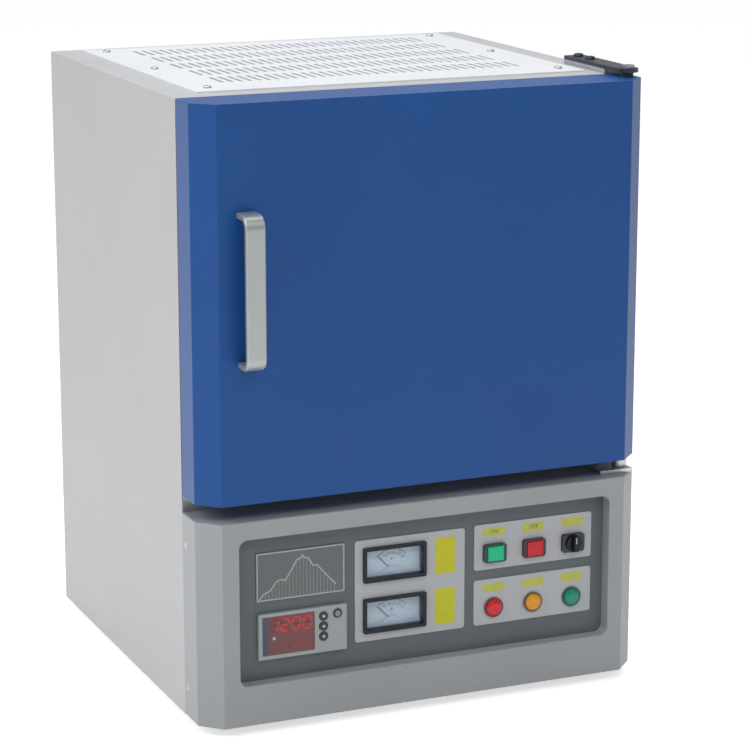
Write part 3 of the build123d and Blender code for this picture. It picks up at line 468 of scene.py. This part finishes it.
# %% Screw heads
def cross(reach, arm, count=24):
    """A plus sign with count points: at angle t, the nearer of the arm's side and its end, where the
    arms are reach long and arm wide."""
    angle = np.arange(count) / count * 2 * np.pi + np.pi / count
    along, over = np.abs(np.cos(angle)), np.abs(np.sin(angle))
    along, over = np.maximum(along, over), np.minimum(along, over)
    distance = np.maximum(np.minimum(reach / along, arm / 2 / over), arm / 2 / along)
    return np.stack([distance * np.cos(angle), distance * np.sin(angle)], -1)


def screw_head(at, axis, radius, height, recess="cross"):
    """Seat circle, a rounded shoulder, the rim of the recess and its floor, as one stack."""
    turn = np.pi / 24
    if recess == "cross":
        drive = cross(radius * 0.58, radius * 0.24)
    else:
        drive = polygon(radius * 0.56, 6, 24, turn)
    rings = [circle(radius, 24, turn), circle(radius, 24, turn), circle(radius * 0.86, 24, turn),
        circle(radius * 0.66, 24, turn), drive, drive * 0.82]
    return stack(rings, [-0.2, height * 0.45, height * 0.85, height, height, height * 0.35], at, axis)


cover_z = corners("vent_cover")[1][2]
cover_screws = [screw_head((x, y, cover_z), "+z", 4.2, 2.2) for x in (-194, 194)
    for y in (-127.4, 34.3, 196)]
piece("vent_cover_screws", cover_screws, "furnace", "pale_steel", smooth=True)
print("vent cover screws", len(cover_screws))

# %% [markdown]
# Socket screws hold the hinge strap, countersunk screws hold the fascia to the
# sides of the base, and pan-head screws hold the two back panels and the door
# pan.

# %% Screws of the hinge, fascia and back panels
strap_top = corners("hinge_strap")[1][2]
strap_screws = [screw_head((234, y, strap_top), "+z", 5.5, 2.9, "hexagon") for y in (-96.4, -122.4)]
piece("hinge_strap_screws", strap_screws, "furnace", "dark_steel", smooth=True)

side_screws = [screw_head((side * 244.9, -185.4, z), ("-x", "+x")[side > 0], 3.6, 0.12) for side in (-1, 1)
    for z in (42, 192)]
piece("fascia_side_screws", side_screws, "furnace", "pale_steel", smooth=True)

back = corners("base_back")[1][1]
back_screws = [screw_head((x, back, z), "+y", 3.8, 2.0) for x in (-232, 0, 232) for z in (32, 202)]
back_screws += [screw_head((x, back, z), "+y", 3.8, 2.0) for x in (-232, 232) for z in (238, 430, 624)]
piece("back_panel_screws", back_screws, "furnace", "pale_steel", smooth=True)

pan_y = corners("door_pan")[1][1]
pan_screws = [screw_head((x, pan_y, z), "+y", 3.4, 0.9) for x in (-232, 0, 228) for z in (255, 627)]
pan_screws += [screw_head((x, pan_y, 441), "+y", 3.4, 0.9) for x in (-236, 232)]
piece("door_pan_screws", pan_screws, "door", "plain_steel", smooth=True)
print("screws", len(strap_screws), len(side_screws), len(back_screws), len(pan_screws))

# %% [markdown]
# ## The printed chart
# The panel carries a small firing chart: a frame, a curve of temperature over
# time and thin bars under it. It is screen-printed in pale ink, so the lines
# are slabs no more than a tenth of a millimetre high. The curve is a list of
# times and temperatures, each from 0 to 1.

# %% Firing chart
ink_pale = hard_finish("ink_pale", (178, 181, 180), 0.6, clouds=0.06, cloud_size=8, grain=0.4, lift=0.004)
ink_faint = hard_finish("ink_faint", (138, 142, 143), 0.6, clouds=0.06, cloud_size=8, grain=0.4, lift=0.004)
chart_low, chart_size = np.array([-183.6, 134.6]), np.array([96.0, 51.0])
curve = np.array([
    [0.035, 0.05], [0.08, 0.15], [0.16, 0.21], [0.225, 0.38], [0.28, 0.415], [0.325, 0.385], [0.41, 0.63],
    [0.455, 0.78], [0.50, 0.80], [0.52, 0.86], [0.54, 0.81], [0.585, 0.79], [0.64, 0.62],
    [0.685, 0.625], [0.77, 0.44], [0.90, 0.17],
])
frame_outlines = [rounded(95.4, 50.4, 0.8), rounded(92.4, 47.4, 0.4)]
rim = stack([frame_outlines[0], frame_outlines[0], frame_outlines[1], frame_outlines[1]],
    [0, 0.08, 0.08, 0], (-135.6, panel_front, 160.1), closed=True)
chart_line = slab(ribbon(chart_low + curve * chart_size, 1.5), panel_front, panel_front - 0.1)
bar_at = np.linspace(0.1, 0.88, 21)
bar_top = np.interp(bar_at, curve[:, 0], curve[:, 1]) - 0.03
bar_foot, bar_corners = 0.03, np.array([[-0.42, -1], [0.42, -1], [0.42, 1], [-0.42, 1]])
bars = []
for x, top in zip(bar_at, bar_top):
    middle = chart_low + chart_size * [x, (bar_foot + top) / 2]
    outline = middle + bar_corners * [1, chart_size[1] * (top - bar_foot) / 2]
    bars.append((*slab(outline, panel_front, panel_front - 0.06), 1))
piece("firing_chart", [rim, chart_line, *bars], "furnace", "plate_paint", [ink_pale, ink_faint])
print("chart bars", len(bars))

# %% [markdown]
# ## Label strips
# Each switch and lamp has a strip of yellow tape above it, and two larger
# yellow patches stand beside the meters. They are left bare, except for ON and
# OFF over the two push buttons. Tape is a thin film with rounded corners.

# %% Label strips and patches
label_yellow = hard_finish("label_yellow", (196, 198, 84), 0.42, clouds=0.05, cloud_size=8, grain=0.5,
    lift=0.006)
patch_yellow = hard_finish("patch_yellow", (206, 204, 26), 0.42, clouds=0.05, cloud_size=10, grain=0.5,
    lift=0.006)
control_x = [80.1, 125.5, 170.9]
tape = 0.18
strips = [slab(rounded(25, 8.6, 0.8), panel_front, panel_front - tape, (x, z)) for x in control_x
    for z in (177.5, 117.2)]
piece("label_strips", strips, "furnace", "plate_paint", [label_yellow])
patches = [slab(rounded(22.4, 38.6, 1.0), panel_front, panel_front - tape, (24.4, z))
    for z in (158.9, 104.2)]
piece("label_patches", patches, "furnace", "plate_paint", [patch_yellow])


def lettering(words, height, at, front, thickness=0.03):
    """Printed characters: each word's outline from Blender's own font becomes a mesh, turned to face
    the front and centred at its place."""
    shapes = []
    for word, (x, z) in zip(words, at):
        text = bpy.data.curves.new("lettering", "FONT")
        text.body, text.size, text.align_x, text.align_y = word, height * 1.4, "CENTER", "CENTER"
        text.resolution_u, text.extrude = 2, thickness / 2
        holder = bpy.data.objects.new("lettering", text)
        bpy.context.scene.collection.objects.link(holder)
        mesh = bpy.data.meshes.new_from_object(holder.evaluated_get(bpy.context.evaluated_depsgraph_get()))
        flat = np.empty(len(mesh.vertices) * 3)
        mesh.vertices.foreach_get("co", flat)
        flat = flat.reshape(-1, 3)
        shapes.append((np.stack([flat[:, 0] + x, front - thickness / 2 - flat[:, 2], flat[:, 1] + z], -1),
                [list(face.vertices) for face in mesh.polygons]))
        bpy.data.objects.remove(holder)
        bpy.data.curves.remove(text)
        bpy.data.meshes.remove(mesh)
    return shapes


ink_olive = hard_finish("ink_olive", (92, 92, 26), 0.5, clouds=0.06, cloud_size=5, grain=0.4, lift=0.004)
piece("label_lettering", lettering(["ON", "OFF"], 4.4, [(80.1, 177.5), (125.5, 177.5)], panel_front - tape),
    "furnace", "plate_paint", [ink_olive])
print("strips", len(strips), "patches", len(patches))

# %% [markdown]
# ## Meter dials
# A moving-coil meter has a card with an arc, long and short strokes, numbers
# and the unit's letter. The needle turns through a quarter of a circle about a
# pin low on the card, so every mark is worked out from its angle round that
# pin. A pale cover hides the needle's hub. It stands still while the needle
# turns, so it starts 0.2 mm in front of the needle.

# %% Dial scales
ink_black = hard_finish("ink_black", (46, 56, 70), 0.55, clouds=0.06, cloud_size=5, grain=0.4, lift=0.003)
dial_front = corners("voltmeter_pointer")[1][1] + 0.3
hubs = {"voltmeter": (-32.7, 148.8), "ammeter": (-32.7, 94.6)}


def at_angle(hub, angle, radius):
    """Point at a clock angle from upright round the hub: (sin, cos) times radius."""
    angle = np.radians(angle)
    return np.stack(np.broadcast_arrays(hub[0] + radius * np.sin(angle), hub[1] + radius * np.cos(angle)),
        -1)


for meter, top_value, letter in (("voltmeter", 500, "V"), ("ammeter", 50, "A")):
    hub = hubs[meter]
    arc = ribbon(at_angle(hub, np.linspace(-45, 45, 41), 22.4), 0.45)
    strokes = [ribbon(at_angle(hub, angle, np.array([20.6 - 0.6 * (number % 5 == 0), 22.6])),
            0.3 + 0.15 * (number % 5 == 0)) for number, angle in enumerate(np.linspace(-45, 45, 26))]
    marks = [slab(line, dial_front, dial_front - 0.03) for line in (arc, *strokes)]
    values = [str(top_value * step // 5) for step in range(6)]
    marks += lettering(values, 2.5, at_angle(hub, np.linspace(-45, 45, 6), 17.4).tolist(), dial_front)
    marks += lettering([letter], 3.6, [(hub[0], hub[1] + 11.2)], dial_front)
    piece(meter + "_scale", marks, "furnace", "dial_white", [ink_black])
    print(meter, "marks", len(marks))

# %% Hub covers and zero screws
hub_cover = hard_finish("hub_cover", (214, 228, 246), 0.25, clouds=0.04, cloud_size=10, grain=0.8,
    lift=0.004)
across = np.linspace(-31.2, 31.2, 61)
swell = 3.2 + 6.5 * np.exp(-((across / 10.5) ** 2))
cover_outline = np.vstack([np.stack([across, swell], -1), np.stack([across[::-1], np.full(61, 0.1)], -1)])
for meter, hub in hubs.items():
    glass_low = hub[1] - 5.0
    back = corners(meter + "_pointer")[0][1] - 0.2
    body = [stack([cover_outline, cover_outline, cover_outline * [0.985, 0.97] + [0, 0.1]],
            [-back, -back + 0.5, -back + 0.8], (hub[0], 0, glass_low))]
    piece(meter + "_hub_cover", body, "furnace", "dial_white", [hub_cover])
    piece(meter + "_zero_screw",
        [screw_head((hub[0], corners("meter_cases")[0][1], hub[1] - 6.7), "-y", 1.4, 0.5)], "furnace",
        "black_plastic", smooth=True)
print("hub cover is", round(float(swell.max()), 1), "mm high in the middle")

# %% [markdown]
# ## The controller's display
# A temperature controller shows the measured value in large red digits and the
# set value in small ones. Each digit is seven bars, and a table says which bars
# make which figure. Lit bars glow and unlit ones are just visible. They lie on
# the face of the tinted window.

# %% Seven-segment digits
glow_red = hard_finish("glow_red", (190, 30, 26), 0.4, clouds=0.05, cloud_size=4, grain=0.5, lift=0.002,
    Emission_Color=shade(214, 40, 34), Emission_Strength=0.35)
glow_dim = hard_finish("glow_dim", (130, 38, 30), 0.4, clouds=0.05, cloud_size=4, grain=0.5, lift=0.002,
    Emission_Color=shade(190, 60, 34), Emission_Strength=0.3)
unlit = hard_finish("unlit_segment", (104, 30, 38), 0.4, clouds=0.05, cloud_size=4, grain=0.5, lift=0.002)
window_low = corners("controller_window")[0]
bars_of = {"0": "abcdef", "1": "bc", "2": "abged", "5": "afgcd", "6": "afgedc", "8": "abcdefg",
    "9": "abcdfg"}
bar_ends = {"a": ((0, 2), (1, 2)), "b": ((1, 2), (1, 1)), "c": ((1, 1), (1, 0)), "d": ((0, 0), (1, 0)),
    "e": ((0, 1), (0, 0)), "f": ((0, 2), (0, 1)), "g": ((0, 1), (1, 1))}


def digits(figures, at, width, height, stroke, lit, front):
    """Each bar is a ribbon between its two ends, pulled in a little, on a digit leaning 8 degrees;
    shapes carry the lit or unlit material number."""
    shapes = []
    for place, figure in enumerate(figures):
        for bar, ends in bar_ends.items():
            ends = np.array(ends, float) * [width * 0.66, height / 2]
            run = (ends[1] - ends[0]) / np.linalg.norm(ends[1] - ends[0])
            ends = ends + np.array([run, -run]) * stroke * 0.62
            line = np.array([ends[0], ends[1]])
            line[:, 0] += line[:, 1] * 0.14 + place * width
            chosen = lit if bar in bars_of[figure] else 2
            shapes.append((*slab(ribbon(line + at, stroke), front + 0.05, front), chosen))
    return shapes


show = window_low[1] - 0.04
display = digits("1200", (-170.8, 102.3), 12.0, 12.4, 1.8, 0, show)
display += digits("1200", (-149.8, 84.3), 5.6, 5.6, 0.8, 1, show)
piece("display_digits", display, "furnace", "display_glass", [glow_red, glow_dim, unlit])
lamp_marks = [slab(rounded(2.2, 1.6, 0.3), show + 0.05, show, (-175.6, z))
    for z in np.linspace(83.5, 104, 6)]
status_blue = hard_finish("status_blue", (44, 60, 92), 0.4, clouds=0.05, cloud_size=4, grain=0.5,
    lift=0.002)
piece("display_status_marks", lamp_marks, "furnace", "display_glass", [status_blue])
status_lit = hard_finish("status_lit", (150, 166, 180), 0.35, clouds=0.05, cloud_size=4, grain=0.5,
    lift=0.002, Emission_Color=shade(170, 190, 205), Emission_Strength=0.25)
dome = stack([circle(1.7, 20), circle(1.7, 20), circle(1.2, 20)], [-0.1, 0.1, 0.3],
    (-166.0, window_low[1], 95.4))
piece("display_status_lamp", [dome], "furnace", "display_glass", [status_lit], smooth=True)
print("display bars", len(display))

# %% [markdown]
# The soft keys beside the window have a pale dot in the middle, and the larger one a grey disc that is a
# painted highlight on its dark cap. Dot and key travel together, so each dot rides on its key.

# %% Key dots, and the painted highlight of the large key
dot_pale = hard_finish("dot_pale", (196, 204, 208), 0.35, clouds=0.04, cloud_size=4, grain=0.5, lift=0.004)
large_key_painted_highlight = hard_finish("large_key_painted_highlight", (132, 146, 158), 0.35, clouds=0.05, cloud_size=4, grain=0.5,
    lift=0.004)
for number in (1, 2, 3, 4):
    key = "controller_key_%d" % number
    low, high = corners(key)
    middle = (low + high) / 2
    # The fourth key's larger grey disc is a painted highlight on the dark key.
    size = 1.5 if number < 4 else 3.1
    rings = [circle(size, 24), circle(size, 24), circle(size * 0.8, 24), circle(size * 0.4, 24)]
    piece(key + "_dot", [stack(rings, [-0.1, 0.12, 0.3, 0.38], (middle[0], low[1], middle[2]))], key,
        "key_plastic", [dot_pale if number < 4 else large_key_painted_highlight], smooth=True)
print("last dot is on", key)

# %% [markdown]
# ## Pilot lamps
# A lamp's lens is a cut dome of coloured plastic: fine flutes run up its side to scatter the light. Its
# radius is a smooth profile of height, and the side is waved by a cosine of the angle. The bezels and
# switch frames are dark plastic with the colour of what they hold painted on as a coloured reflection, so
# their hue changes across the panel, and the plate under the chart is painted as dark as the panel itself.

# %% Lamp lenses
lens_back = corners("lamp_bezels")[0][1]
lens_rise = lens_back - corners("lamp_lenses")[0][1]
profile = np.array([[8.7, 0.0], [8.7, 0.3], [8.5, 0.42], [7.9, 0.6], [6.7, 0.79], [5.0, 0.9], [2.9, 0.975],
        [0.9, 0.999]]) * [1, lens_rise]
angle = np.arange(72) / 72 * 2 * np.pi
lens_finishes = [
    hard_finish("lens_red", (222, 30, 40), 0.2, clouds=0.1, cloud_size=5, grain=0.9, lift=0.04,
        Coat_Weight=0.15, Coat_Roughness=0.1, Specular_IOR_Level=0.35),
    hard_finish("lens_amber", (238, 160, 26), 0.2, clouds=0.1, cloud_size=5, grain=0.9, lift=0.04,
        Coat_Weight=0.15, Coat_Roughness=0.1, Specular_IOR_Level=0.35),
    hard_finish("lens_green", (8, 146, 122), 0.2, clouds=0.1, cloud_size=5, grain=0.9, lift=0.04,
        Coat_Weight=0.15, Coat_Roughness=0.1, Specular_IOR_Level=0.35),
]
lenses = []
for number, x in enumerate(control_x):
    fluted = profile[:, :1] * (1 - 0.012 * (1 - np.cos(24 * angle)) * (profile[:, :1] > 6))
    rings = np.stack([fluted * np.cos(angle), fluted * np.sin(angle)], -1)
    points, faces = stack(rings, profile[:, 1], (x, lens_back, 95.4))
    lenses.append((points, faces, number))
domes = piece("lamp_domes", lenses, "furnace", "lamp_plastic", lens_finishes, smooth=True)
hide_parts("lamp_lenses")
print("lenses rise", round(float(lens_rise), 1), "mm")

# %% Finishes that change along the panel
def along_panel(material, places, colours):
    """Repaints a finish so that its colour steps along X: each colour holds up to the next place, in
    mm from the centre line."""
    tree = material.node_tree
    across = node(tree, "ShaderNodeSeparateXYZ",
        {"Vector": node(tree, "ShaderNodeTexCoord").outputs["Object"]}).outputs["X"]
    ramp = node(tree, "ShaderNodeValToRGB",
        {"Fac": node(tree, "ShaderNodeMapRange",
                {"Value": across, "From Min": -0.25, "From Max": 0.25}).outputs["Result"]})
    ramp.color_ramp.interpolation = "CONSTANT"
    first, second = ramp.color_ramp.elements
    first.color = shade(*colours[0])
    second.position, second.color = (places[0] + 250) / 500, shade(*colours[1])
    for place, colour in zip(places[1:], colours[2:]):
        ramp.color_ramp.elements.new((place + 250) / 500).color = shade(*colour)
    tree.links.new(ramp.outputs["Color"], tree.nodes["Principled BSDF"].inputs["Base Color"])
    return material


dark_plastic = dict(clouds=0.1, cloud_size=12, grain=0.5, lift=0.015)
# Bezels and switch frames are dark plastic; each colour step is a painted coloured reflection of the lens
# or button it holds.
bezels = along_panel(hard_finish("bezel_painted_reflection", (30, 30, 34), 0.28, **dark_plastic), (102, 148),
    [(110, 28, 44), (104, 76, 36), (18, 74, 62)])
frames = along_panel(hard_finish("switch_frame_painted_reflection", (30, 30, 34), 0.28, **dark_plastic), (102, 148),
    [(10, 54, 44), (62, 18, 34), (24, 26, 36)])
window = along_panel(hard_finish("display_window", (110, 30, 38), 0.2, clouds=0.1, cloud_size=20, grain=2.0,
        lift=0.002, Coat_Weight=0.4, Coat_Roughness=0.06), (-172,), [(40, 48, 70), (108, 26, 36)])
plates = along_panel(hard_finish("instrument_plates", (190, 193, 196), 0.4, cloud_size=60, grain=0.6,
        lift=0.015), (-84,), [(104, 108, 110), (188, 191, 194)])
for name, chosen in (("lamp_bezels", bezels), ("switch_frames", frames), ("panel_plates", plates),
    ("controller_window", window)):
    frame["nodes"][name].material_slots[0].material = chosen
print("bezels, frames and plates hued")

# %% [markdown]
# The selector has a white line on its grip that shows which way it points. It
# is inlaid paint, so it rides on the knob.

# %% Selector line
ink_white = hard_finish("ink_white", (214, 214, 210), 0.5, clouds=0.04, cloud_size=4, grain=0.4, lift=0.004)
grip_front = corners("selector_knob")[0][1]
piece("selector_line",
    [slab(rounded(1.0, 6.5, 0.3), grip_front + 0.1, grip_front - 0.04, (170.9, 155.1 + 4.2))],
    "selector_knob", "black_plastic", [ink_white])
print("selector line at y", round(float(grip_front), 2))

# %% [markdown]
# ## Heating coils
# The chamber is heated by resistance wire wound into open coils that lie in
# grooves of the side boards. A coil is a circle carried along a helix: the
# helix gives the wire's centre, and the wire's own section is a small ring of
# five points set square to its run. At both ends the wire turns into the board.

# %% Wind the coils
def wire(path, radius, sides=5):
    """Ring of points round each point of a path: square directions come from the run and the path's
    mean axis."""
    path = np.asarray(path, float)
    run = np.gradient(path, axis=0)
    run /= np.linalg.norm(run, axis=1)[:, None]
    side = np.cross(run, [0.0, 1.0, 0.02])
    side /= np.linalg.norm(side, axis=1)[:, None]
    up = np.cross(run, side)
    turn = np.arange(sides) / sides * 2 * np.pi
    ring = np.cos(turn)[None, :, None] * side[:, None, :] + np.sin(turn)[None, :, None] * up[:, None, :]
    points = (path[:, None, :] + radius * ring).reshape(-1, 3)
    ends = [np.arange(sides).tolist(), (np.arange(sides) + (len(path) - 1) * sides).tolist()]
    return points, grid_faces(len(path), sides).tolist() + ends


low, high = corners("heating_elements")
coil_start, coil_stop, coil_x = low[1], high[1], high[0] - 4.5
turns, per_turn, wire_radius = 36, 18, 0.75
chamber_middle, coil_pitch = 440.0, 34.0
phase = np.linspace(0, turns * 2 * np.pi, turns * per_turn + 1)
coils = []
for side in (-1, 1):
    for row in range(5):
        z = chamber_middle + (row - 2) * coil_pitch
        reach = 4.5 - wire_radius - 0.05
        helix = np.stack([side * coil_x + side * reach * np.cos(phase),
                coil_start + wire_radius + (coil_stop - coil_start - 2 * wire_radius) * phase / phase[-1],
                z + reach * np.sin(phase)], -1)
        tail = np.array([[side * 9.0, 0, 0], [side * 5.0, 0, 0]])
        path = np.vstack([helix[:1] + tail, helix, helix[-1:] + tail[::-1]])
        coils.append(wire(path, wire_radius))
elements = piece("heating_coils", coils, "furnace", "coil_wire", smooth=True)
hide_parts("heating_elements")
print("coils", len(coils), "triangles about", sum(2 * len(faces) for _, faces in coils))

# %% [markdown]
# ## The woven door seal
# A rope of woven ceramic fibre runs round the plug and is pressed flat when the
# door shuts. Its surface is a grid: one parameter runs round the door along a
# rounded square, the other round the rope's flattened section. The plaits are
# two slanting cosine waves, one for each direction of the yarn, and the higher
# of the two is on top.

# %% Plait the seal
def round_square(half, radius, count):
    """Centre line of a rounded square as count points at equal steps, with its outward directions."""
    straight, arc = 2 * (half - radius), np.pi / 2 * radius
    s = np.arange(count) / count * 4 * (straight + arc)
    side, t = np.divmod(s, straight + arc)
    bend = np.clip((t - straight) / radius, 0, np.pi / 2)
    x = np.minimum(t, straight) - straight / 2 + radius * np.sin(bend)
    y = half - radius + radius * np.cos(bend)
    turn = -side * np.pi / 2
    rotate = lambda a, b: np.stack([a * np.cos(turn) - b * np.sin(turn),
            a * np.sin(turn) + b * np.cos(turn)], -1)
    return rotate(x, y), rotate(np.sin(bend), np.cos(bend)), s


seal_low, seal_high = corners("door_seal")
door_middle, seal_inside, yarn_pitch = 441.0, 123.0, 5.0
seal_half = (seal_high[0] + seal_inside) / 2
line, outward, along = round_square(seal_half, 10.0, 840)
section = np.arange(16) / 16 * 2 * np.pi
wide = (seal_high[0] - seal_inside) / 2
thick = (seal_high[1] - seal_low[1]) / 2
yarn_a = np.cos(along[:, None] * 2 * np.pi / yarn_pitch + 3 * section)
yarn_b = np.cos(along[:, None] * 2 * np.pi / yarn_pitch - 3 * section + np.pi)
plump = 1 - 0.16 * (1 - np.maximum(yarn_a, yarn_b)) / 2
flattened = [np.abs(wave) ** 0.6 * np.sign(wave) for wave in (np.cos(section), np.sin(section))]
offset = wide * flattened[0] * plump
height = thick * flattened[1] * plump
points = np.stack([
    line[:, :1] + outward[:, :1] * offset,
    (seal_low[1] + seal_high[1]) / 2 + height,
    door_middle + line[:, 1:] + outward[:, 1:] * offset,
], -1).reshape(-1, 3)
points = np.concatenate([points, points[:16]])
rope = piece("woven_seal", [(points, grid_faces(841, 16).tolist())], "door", "rope_seal", smooth=True)
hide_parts("door_seal")
print("seal is", round(float(along[-1]) / 1000, 2), "m long")

# %% [markdown]
# ## The cable gland
# The mains lead enters through a plastic gland: a hexagon against the panel and
# a domed, ribbed cap that squeezes a rubber ring on the cable. The whole
# outside and the bore are one closed stack, with the cap's radius waved by a
# cosine for its ribs.

# %% Gland
low, high = corners("cable_gland")
count = 96
ribs = 9.1 + 0.35 * np.cos(18 * np.arange(count) / count * 2 * np.pi)
ribbed = circle(1, count) * ribs[:, None]
hexagon = polygon(12, 6, count)
washer = circle(11.0, count)
profile = [
    (hexagon * 0.96, 0), (hexagon, 0.6), (hexagon, 8.6), (hexagon * 0.95, 9.4),
    (washer * 0.9, 9.8), (washer * 0.9, 11.0), (ribbed * 0.97, 11.2), (ribbed, 12.0), (ribbed, 19.5),
    (circle(8.4, count), 21.6), (circle(7.0, count), 23.3), (circle(6.2, count), 24.0),
    (circle(5.2, count), 24.0), (circle(5.0, count), 23.6), (circle(5.0, count), 0),
]
gland = piece("ribbed_gland",
    [stack([ring for ring, _ in profile], [rise for _, rise in profile], (165.0, low[1], 55.0), "+y",
            closed=True)], "furnace", "black_plastic", smooth=True)
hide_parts("cable_gland")
print("gland reaches y", round(float(high[1]), 1))

# %% [markdown]
# ## Camera
# A long lens a good way off keeps the box's upright edges nearly parallel. The
# camera stands to the left and a little above. Its place is given in metres,
# and its direction by two angles.

# %% Camera
azimuth, elevation = math.radians(-23.3), math.radians(13.61)
camera = bpy.data.objects.new("camera", bpy.data.cameras.new("camera"))
bpy.context.scene.collection.objects.link(camera)
back_vector = Vector((math.sin(azimuth) * math.cos(elevation), -math.cos(azimuth) * math.cos(elevation),
        math.sin(elevation)))
camera.location = (-1.0941, -2.6359, 0.9937)
camera.rotation_mode = "QUATERNION"
camera.rotation_quaternion = (-back_vector).to_track_quat("-Z", "Y")
camera.data.lens, camera.data.sensor_width = 129.7, 36.0
camera.data.clip_start, camera.data.clip_end = 0.05, 200.0
bpy.context.scene.camera = camera
print("camera stands", round(camera.location.length, 2), "m from the foot of the furnace")

# %% [markdown]
# ## Studio
# A pale flat floor, three large soft lamps and an even pale surround. The lamps
# stand high on the left, above, and high in front, from strong to weak. The
# surround is darker in front, so that glossy paint does not turn milky. To the
# eye of the camera the surround and the floor are white.

# %% Floor
floor_mesh = bpy.data.meshes.new("floor")
floor_mesh.from_pydata([(-40, -40, 0), (40, -40, 0), (40, 40, 0), (-40, 40, 0)], [], [(0, 1, 2, 3)])
floor = bpy.data.objects.new("floor", floor_mesh)
bpy.context.scene.collection.objects.link(floor)
pale = bpy.data.materials.new("floor_white")
pale.use_nodes = True
tree = pale.node_tree
shader = tree.nodes["Principled BSDF"]
shader.inputs["Base Color"].default_value = (0.86, 0.86, 0.86, 1)
shader.inputs["Roughness"].default_value = 0.8
ray = node(tree, "ShaderNodeLightPath")
seen = node(tree, "ShaderNodeMath", {0: ray.outputs["Is Camera Ray"], 1: ray.outputs["Is Glossy Ray"]},
    operation="MAXIMUM")
seen = node(tree, "ShaderNodeMath", {0: seen.outputs["Value"], 1: ray.outputs["Is Transmission Ray"]},
    operation="MAXIMUM")
glow = node(tree, "ShaderNodeEmission",
    {"Color": (1, 1, 1, 1),
        "Strength": node(tree, "ShaderNodeMath", {0: seen.outputs["Value"], 1: 0.6},
            operation="MULTIPLY").outputs["Value"]})
both = node(tree, "ShaderNodeAddShader", {0: shader.outputs["BSDF"], 1: glow.outputs["Emission"]})
tree.links.new(both.outputs["Shader"], tree.nodes["Material Output"].inputs["Surface"])
floor_mesh.materials.append(pale)

# %% Surround
world = bpy.data.worlds.new("surround")
bpy.context.scene.world = world
world.use_nodes = True
tree = world.node_tree
tree.nodes.clear()
direction = node(tree, "ShaderNodeSeparateXYZ",
    {"Vector": node(tree, "ShaderNodeTexCoord").outputs["Generated"]})
level = node(tree, "ShaderNodeMapRange",
    {"Value": direction.outputs["Y"], "From Min": -1.0, "From Max": 0.3, "To Min": 0.2, "To Max": 0.52})
ray = node(tree, "ShaderNodeLightPath")
strength = node(tree, "ShaderNodeMix",
    {"Factor": ray.outputs["Is Camera Ray"], "A": level.outputs["Result"], "B": 1.0})
light = node(tree, "ShaderNodeBackground", {"Color": (1, 1, 1, 1), "Strength": strength.outputs["Result"]})
tree.links.new(light.outputs["Background"], node(tree, "ShaderNodeOutputWorld").inputs["Surface"])

# %% Lamps
def softbox(name, place, target, size, watts):
    """A square area lamp that looks at a target."""
    data = bpy.data.lights.new(name, "AREA")
    data.shape, data.size, data.energy = "SQUARE", size, watts
    lamp = bpy.data.objects.new(name, data)
    bpy.context.scene.collection.objects.link(lamp)
    lamp.location = place
    lamp.rotation_mode = "QUATERNION"
    lamp.rotation_quaternion = (Vector(target) - Vector(place)).to_track_quat("-Z", "Y")
    return lamp


softbox("key_softbox", (-2.8, -0.3, 2.4), (0, 0, 0.35), 1.8, 40)
softbox("top_softbox", (0.2, 0.4, 3.0), (0, 0, 0.5), 1.6, 31)
softbox("front_softbox", (-0.2, -2.6, 2.7), (0, 0, 0.2), 1.2, 27)
print("lamps", len(bpy.data.lights))

# %% View settings
bpy.context.scene.view_settings.view_transform = "Standard"
